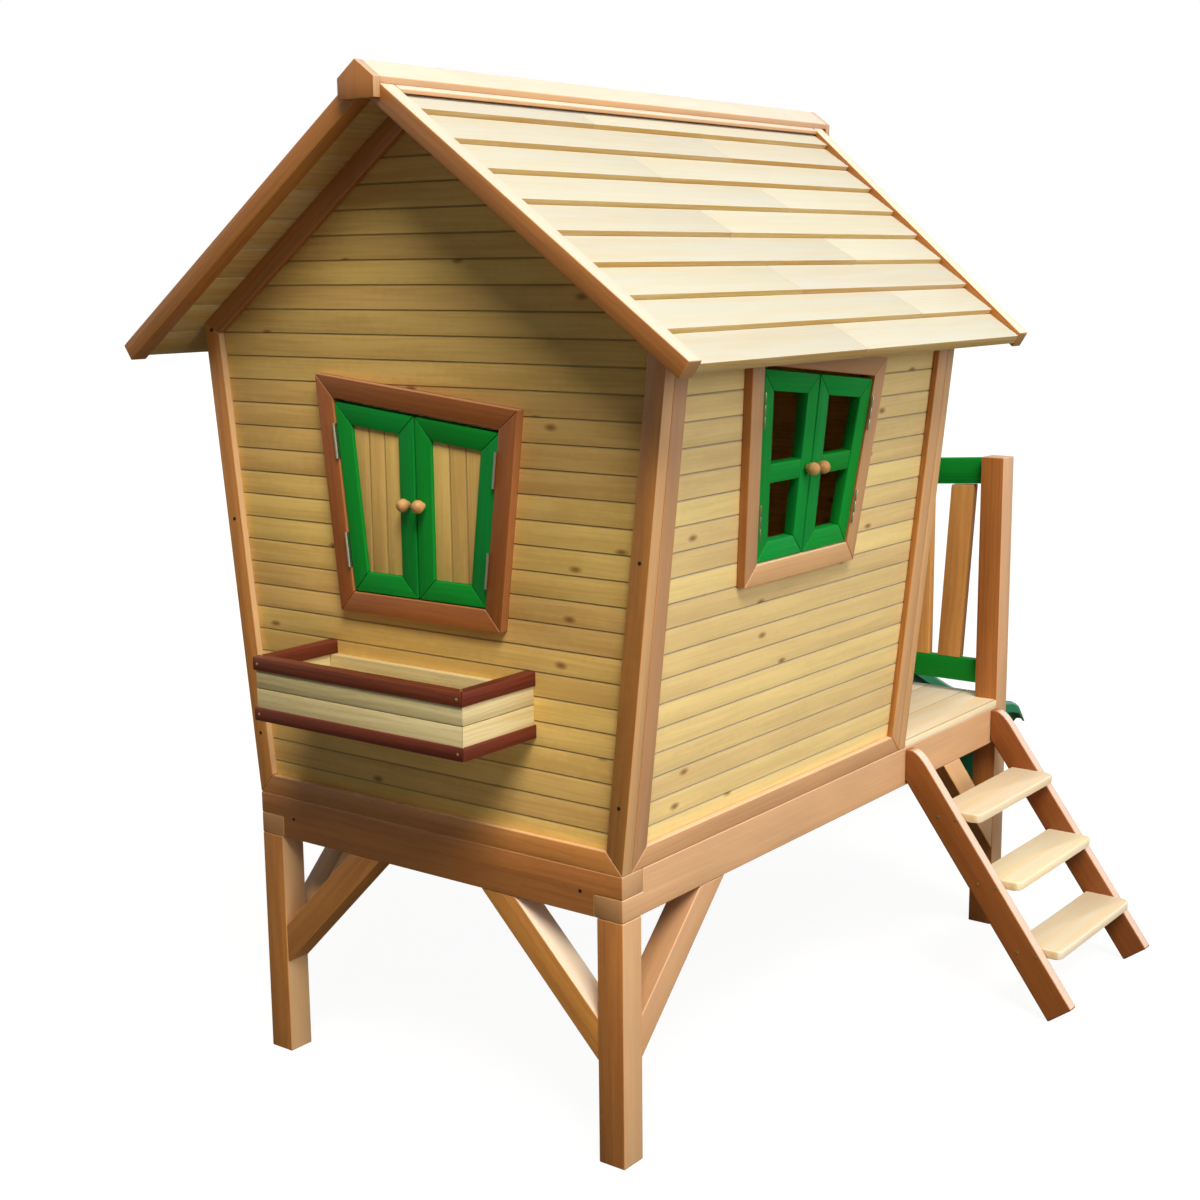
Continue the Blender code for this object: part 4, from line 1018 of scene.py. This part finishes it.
class PLAYHOUSE_OT_ridge(bpy.types.Operator):
    """Ridge capping of two boards over two wider strips, closed by a house-shaped block at each end."""
    bl_idname = "playhouse.ridge"
    bl_label = "Ridge"

    def execute(self, context):
        crown = ROOF_UNDERSIDE + BARGE_RISE / math.cos(ROOF_PITCH) + GAP
        seat = ROOF_UNDERSIDE + (COURSE_BUTT + GAP) / math.cos(ROOF_PITCH)
        first, last = NEAR_VERGE - GAP, FAR_VERGE_RIDGE + GAP
        strip_near = NEAR_VERGE + BARGE_T + RIDGE_STRIP_CLEAR
        prow = (FAR_VERGE_RIDGE - FAR_VERGE_EAVE) * RIDGE_STRIP_HALF / EAVE_X
        strip_far = FAR_VERGE_RIDGE - prow - BARGE_W
        members = []
        for sign in (-1, 1):
            down = Vector((sign * math.cos(ROOF_PITCH), 0, -math.sin(ROOF_PITCH)))
            middle = (Vector((HOUSE_X, 0, 0)), Vector((-sign, 0, 0)))
            for top, base, half, start, stop in (
                    (crown + RIDGE_CAP, crown, RIDGE_HALF, first, last),
                    (crown - GAP, seat, RIDGE_STRIP_HALF, strip_near, strip_far)):
                slope = place_of((HOUSE_X, GABLE_Y, base), (0, sign, 0), -down)
                ys = sorted((sign * start, sign * stop))
                edge = (Vector((HOUSE_X + sign * half, 0, 0)), Vector((sign, 0, 0)))
                thick = (top - base) * math.cos(ROOF_PITCH)
                members.append(timber((ys[0], -half * RIDGE_STOCK, 0), (ys[1], half, thick), slope,
                                      [middle, edge], ROOF_EASE))
        peak = crown + RIDGE_CAP
        for start, stop in ((first - RIDGE_BLOCK_T, first), (last, last + RIDGE_BLOCK_T)):
            upright = place_of((HOUSE_X, GABLE_Y, 0), UP, (1, 0, 0))
            cuts = [(Vector((HOUSE_X, 0, peak)),
                     Vector((sign * math.sin(ROOF_PITCH), 0, math.cos(ROOF_PITCH)))) for sign in (-1, 1)]
            members.append(timber((peak - RIDGE_BLOCK_H, -RIDGE_HALF, start), (peak, RIDGE_HALF, stop),
                                  upright, cuts, ROOF_EASE))
        finish("ridge_capping", members, stained_pine(), nodes=["ridge_cap"])
        return {"FINISHED"}


class PLAYHOUSE_OT_ladder(bpy.types.Operator):
    """Ladder stringers and treads."""
    bl_idname = "playhouse.ladder"
    bl_label = "Ladder"

    def execute(self, context):
        for end in ("near", "far"):
            node = f"ladder_stringer_{end}"
            stringer = solid_copy(node, ease=LADDER_EASE)
            finish(f"{node}_timber", [stringer], ladder_pine(), nodes=[node])
        for i in (1, 2, 3):
            node = f"ladder_tread_{i}"
            tread = solid_copy(node, (0, 1, 0), (1, 0, 0), ease=LADDER_EASE)
            finish(f"{node}_board", [tread], tread_spruce(), nodes=[node])
        return {"FINISHED"}


def rail_top(x, edge):
    """Height of a top-rail edge, which climbs towards the post."""
    share = (x - UPRIGHT_X[0]) / (HALF_W - POST - UPRIGHT_X[0])
    return RAIL_HIGH[edge] + RAIL_SKEW * (share - 0.5)


class PLAYHOUSE_OT_railings(bpy.types.Operator):
    """Porch railings: painted rails, stained newel, upright and slanted balusters."""
    bl_idname = "playhouse.railings"
    bl_label = "Railings"

    def execute(self, context):
        joint = sizes().joint
        ease = sizes().paint_arris
        end = HALF_W - POST - GAP
        foot = DECK_TOP + GAP
        low, high = RAIL_LOW
        face = (-RAIL_Y - RAIL_T, -RAIL_Y)
        a, b = NEWEL_X
        rails = [[(b + joint, low), (end, low), (end, high), (b + joint, high)],
                 [(a, rail_top(a, 0)), (end, rail_top(end, 0)), (end, rail_top(end, 1)),
                  (a, rail_top(a, 1))]]
        rails = [plank(points, *face, GABLE, ease) for points in rails]
        finish("railing_front_rails", rails, green_paint(), nodes=["railing_front"])
        sticks = []
        for (c, d), base, lean in ((NEWEL_X, foot, 0.0), (UPRIGHT_X, high + joint, 0.0),
                                   ((BALUSTER_X, BALUSTER_X + BALUSTER_W), high + joint, BALUSTER_LEAN)):
            points = [(c, base), (d, base), (d + lean, rail_top(d, 0) - joint),
                      (c + lean, rail_top(c, 0) - joint)]
            sticks.append(plank(points, *face, GABLE, along=1))
        finish("railing_front_balusters", sticks, light_pine())
        start, stop = HOUSE_L + GAP, PLATFORM_L - POST - GAP
        lower = RAIL_HIGH[0]
        edge = HOUSE_X - HALF_W + (POST - RAIL_T) / 2
        along = place_of((edge, GABLE_Y, 0), (0, 1, 0), UP)
        rails = [plank([(start, bottom), (stop, bottom), (stop, top), (start, top)], 0, RAIL_T, along, ease)
                 for bottom, top in (RAIL_LOW, RAIL_HIGH)]
        finish("railing_left_rails", rails, green_paint(), nodes=["railing_left"])
        space = (stop - start - LEFT_BALUSTERS * BALUSTER_W) / (LEFT_BALUSTERS + 1)
        sticks = []
        for i in range(LEFT_BALUSTERS):
            a = start + space + i * (space + BALUSTER_W)
            lean = BALUSTER_LEAN * (-1) ** i
            b = a + BALUSTER_W
            sticks.append(plank([(a, high + joint), (b, high + joint), (b + lean, lower - joint),
                                 (a + lean, lower - joint)], 0, RAIL_T, along, along=1))
        finish("railing_left_balusters", sticks, light_pine())
        return {"FINISHED"}


class PLAYHOUSE_OT_slide(bpy.types.Operator):
    """Moulded slide."""
    bl_idname = "playhouse.slide"
    bl_label = "Slide"

    def execute(self, context):
        moulding = solid_copy("slide", ease=0.0)
        finish("slide_moulding", [moulding], moulded_hdpe(), nodes=["slide"], angle=35)
        return {"FINISHED"}


def facing(point, out):
    """A place at a point, with its Z axis turned outwards."""
    return Matrix.Translation(point) @ Vector(out).to_track_quat("Z", "Y").to_matrix().to_4x4()


def copies(model, places):
    """Copies of one modelled fitting, each with its own mesh, at their places; the model itself goes."""
    made = []
    for place in places:
        piece = bpy.data.objects.new(model.name, model.data.copy())
        bpy.context.scene.collection.objects.link(piece)
        piece.matrix_world = place
        alone(piece)
        bpy.ops.object.transform_apply()
        made.append(piece)
    bpy.data.objects.remove(model)
    return made


def screw_heads(radius, places):
    """Countersunk screw heads: shallow domes, each with a sunk drive."""
    bpy.ops.object.select_all(action="DESELECT")
    bpy.ops.mesh.primitive_cylinder_add(vertices=16, radius=radius, depth=SCREW_H)
    head = bpy.context.object
    edit(head, "DESELECT")
    leave_edit()
    for face in head.data.polygons:
        face.select = face.normal.z > SQUARE_FACING
    bpy.ops.object.mode_set(mode="EDIT")
    bpy.ops.mesh.select_mode(type="FACE")
    for share, rise in SCREW_RINGS:
        bpy.ops.mesh.inset(thickness=radius * share, depth=rise)
    leave_edit()
    return copies(head, places)


def hinge_barrels(places):
    """Hinge barrels: rolled knuckles with eased rims, in one line at each place."""
    pitch = HINGE_L / KNUCKLES
    bpy.ops.object.select_all(action="DESELECT")
    bpy.ops.mesh.primitive_cylinder_add(vertices=20, radius=BARREL_R, depth=pitch - KNUCKLE_GAP)
    knuckle = bpy.context.object
    ease_edges(knuckle, KNUCKLE_RIM)
    steps = [Matrix.Translation((0, 0, (i - (KNUCKLES - 1) / 2) * pitch)) for i in range(KNUCKLES)]
    return copies(knuckle, [place @ step for place in places for step in steps])


class PLAYHOUSE_OT_fittings(bpy.types.Operator):
    """Zinc hinges and screws."""
    bl_idname = "playhouse.fittings"
    bl_label = "Hinges and screws"

    def execute(self, context):
        metal = zinc("zinc_plated_steel", "#948E7C", "#B5AF9A")
        for side in ("left", "right"):
            for level in ("lower", "upper"):
                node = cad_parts[f"shutter_{side}_{level}_hinge"]
                node.data.materials.clear()
                node.data.materials.append(metal)
        opening = window_opening(SIDE_WINDOW[0], side_sill())
        places = []
        for foot, head in ((opening[0], opening[3]), (opening[1], opening[2])):
            low, high = (RIGHT @ Vector((*p, SURROUND_PROUD + HINGE_PROUD)) for p in (foot, head))
            places += [facing(low.lerp(high, share), high - low) for share in HINGE_STATIONS]
        finish("casement_hinge_barrels", hinge_barrels(places), metal)

        near_out, far_out = Vector((0, -1, 0)), Vector((0, 1, 0))
        radius = sizes().screw
        places = []
        lip, front = PLANTER_HALF + TRIM_LIP, -PLANTER_DEPTH - TRIM_LIP
        for x in (-lip + TRIM_SCREW_INSET, lip - TRIM_SCREW_INSET):
            for z in (PLANTER_BOTTOM + TRIM_H / 2, PLANTER_TOP - TRIM_H / 2):
                places.append(facing(LEVEL @ Vector((x, front, z)), near_out))
            places.append(facing(LEVEL @ Vector((x, front + TRIM_SCREW_INSET, PLANTER_TOP)), UP))
        screws = screw_heads(radius * TRIM_SCREW_SHARE, places)
        places = []
        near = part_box("ladder_stringer_near")[0].y
        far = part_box("ladder_stringer_far")[1].y
        for i in (1, 2, 3):
            low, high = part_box(f"ladder_tread_{i}")
            for share in TREAD_SCREWS:
                x, z = low.x + (high.x - low.x) * share, (low.z + high.z) / 2
                places.append(facing(Vector((x, near, z)), near_out))
                places.append(facing(Vector((x, far, z)), far_out))
        screws += screw_heads(radius, places)
        finish("fixing_screws", screws, zinc("yellow_zinc_steel", "#A98D5A", "#CDB684"))

        places = []
        low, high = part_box("gable_beam")
        for sign in (-1, 1):
            for z in (BEAM_TOP + rise for rise in STILE_SCREWS):
                x = sign * (wall_edge(z) - BATTEN_W / 2)
                places.append(facing(GABLE @ Vector((x, z, 0)), near_out))
                places.append(facing(FRONT @ Vector((x, z, 0)), far_out))
            x = HOUSE_X + sign * (HALF_W - BEAM_SCREW)
            places.append(facing(Vector((x, low.y, (low.z + high.z) / 2)), near_out))
        black = zinc("black_zinc_steel", "#2A2622", "#4A443C")
        finish("frame_screws", screw_heads(radius, places), black)
        return {"FINISHED"}


def lay_floor(context):
    """Pale matt floor: white to the camera, and still dark enough elsewhere to keep the shadow."""
    bpy.ops.object.select_all(action="DESELECT")
    bpy.ops.mesh.primitive_plane_add(size=FLOOR_SIZE)
    floor = context.object
    floor.name = "studio_floor"
    material, tree, shader = new_material("pale_floor")
    shader.inputs["Base Color"].default_value = FLOOR_SHADE
    shader.inputs["Roughness"].default_value = 0.9
    shader.inputs["Emission Color"].default_value = WHITE
    rays = add(tree, "ShaderNodeLightPath")
    lift = add(tree, "ShaderNodeMath", {0: rays.outputs["Is Camera Ray"], 1: FLOOR_LIFT},
               operation="MULTIPLY")
    tree.links.new(lift.outputs[0], shader.inputs["Emission Strength"])
    floor.data.materials.append(material)


def light_studio(scene):
    """White surround for the camera and for reflections, with little light of its own, and two soft lamps."""
    world = bpy.data.worlds.new("studio")
    scene.world = world
    world.use_nodes = True
    tree = world.node_tree
    tree.nodes.clear()
    rays = add(tree, "ShaderNodeLightPath")
    seen = rays.outputs["Is Camera Ray"]
    for kind in ("Is Glossy Ray", "Is Transmission Ray"):
        seen = add(tree, "ShaderNodeMath", {0: seen, 1: rays.outputs[kind]}, operation="MAXIMUM").outputs[0]
    level = add(tree, "ShaderNodeMapRange", {"Value": seen, "To Min": WORLD_FILL, "To Max": 1.0})
    sky = add(tree, "ShaderNodeBackground", {"Color": WHITE, "Strength": level.outputs[0]})
    add(tree, "ShaderNodeOutputWorld", {"Surface": sky.outputs[0]})
    for name, direction, strength, angle, tint in LAMPS:
        lamp = bpy.data.lights.new(name, "SUN")
        lamp.energy = strength
        lamp.angle = math.radians(angle)
        lamp.color = linear(tint)
        holder = bpy.data.objects.new(name, lamp)
        scene.collection.objects.link(holder)
        holder.rotation_euler = Vector(direction).to_track_quat("Z", "Y").to_euler()


def set_camera(scene):
    """Camera at the photograph's place, turned by its azimuth, pitch and small roll."""
    level = math.cos(CAMERA_PITCH)
    back = Vector((math.sin(CAMERA_AZIMUTH) * level, -math.cos(CAMERA_AZIMUTH) * level,
                   math.sin(CAMERA_PITCH)))
    across = Vector((math.cos(CAMERA_AZIMUTH), math.sin(CAMERA_AZIMUTH), 0))
    up = back.cross(across)
    turned = across * math.cos(CAMERA_ROLL) - up * math.sin(CAMERA_ROLL)
    raised = across * math.sin(CAMERA_ROLL) + up * math.cos(CAMERA_ROLL)
    eye = bpy.data.cameras.new("photo_camera")
    eye.lens = CAMERA_LENS
    eye.sensor_width = CAMERA_FILM
    eye.clip_end = CAMERA_REACH
    camera = bpy.data.objects.new("photo_camera", eye)
    scene.collection.objects.link(camera)
    camera.matrix_world = Matrix((turned, raised, back)).transposed().to_4x4()
    camera.location = CAMERA_PLACE
    scene.camera = camera


class PLAYHOUSE_OT_stage(bpy.types.Operator):
    """Pale floor, soft light and the camera of the photograph."""
    bl_idname = "playhouse.stage"
    bl_label = "Stage"

    def execute(self, context):
        scene = context.scene
        scene.view_settings.view_transform = "Standard"
        lay_floor(context)
        light_studio(scene)
        set_camera(scene)
        return {"FINISHED"}


class PLAYHOUSE_PT_panel(bpy.types.Panel):
    """Lists the playhouse's operators, sizes and colours."""
    bl_label = "Crooked Playhouse"
    bl_idname = "PLAYHOUSE_PT_panel"
    bl_space_type = "VIEW_3D"
    bl_region_type = "UI"
    bl_category = "Playhouse"

    def draw(self, context):
        for group in (context.scene.playhouse_sizes, context.scene.playhouse_colours):
            for name in group.__annotations__:
                self.layout.prop(group, name)
        for operator in OPERATORS:
            self.layout.operator(operator.bl_idname)


OPERATORS = (PLAYHOUSE_OT_stage, PLAYHOUSE_OT_frame, PLAYHOUSE_OT_floors, PLAYHOUSE_OT_walls,
             PLAYHOUSE_OT_battens, PLAYHOUSE_OT_shutters, PLAYHOUSE_OT_casements, PLAYHOUSE_OT_planter,
             PLAYHOUSE_OT_roof, PLAYHOUSE_OT_ridge, PLAYHOUSE_OT_ladder, PLAYHOUSE_OT_railings,
             PLAYHOUSE_OT_slide, PLAYHOUSE_OT_fittings)
CLASSES = (PlayhouseColours, PlayhouseSizes, *OPERATORS, PLAYHOUSE_PT_panel)


def register():
    """Register the classes, and give the scene its sizes and colours."""
    for item in CLASSES:
        bpy.utils.register_class(item)
    bpy.types.Scene.playhouse_sizes = PointerProperty(type=PlayhouseSizes)
    bpy.types.Scene.playhouse_colours = PointerProperty(type=PlayhouseColours)


def unregister():
    """Undo what register did, in the other order."""
    del bpy.types.Scene.playhouse_colours
    del bpy.types.Scene.playhouse_sizes
    for item in reversed(CLASSES):
        bpy.utils.unregister_class(item)


def main():
    """Register, and build every piece in order."""
    register()
    for operator in OPERATORS:
        group, name = operator.bl_idname.split(".")
        getattr(getattr(bpy.ops, group), name)()


if __name__ == "__main__":
    main()
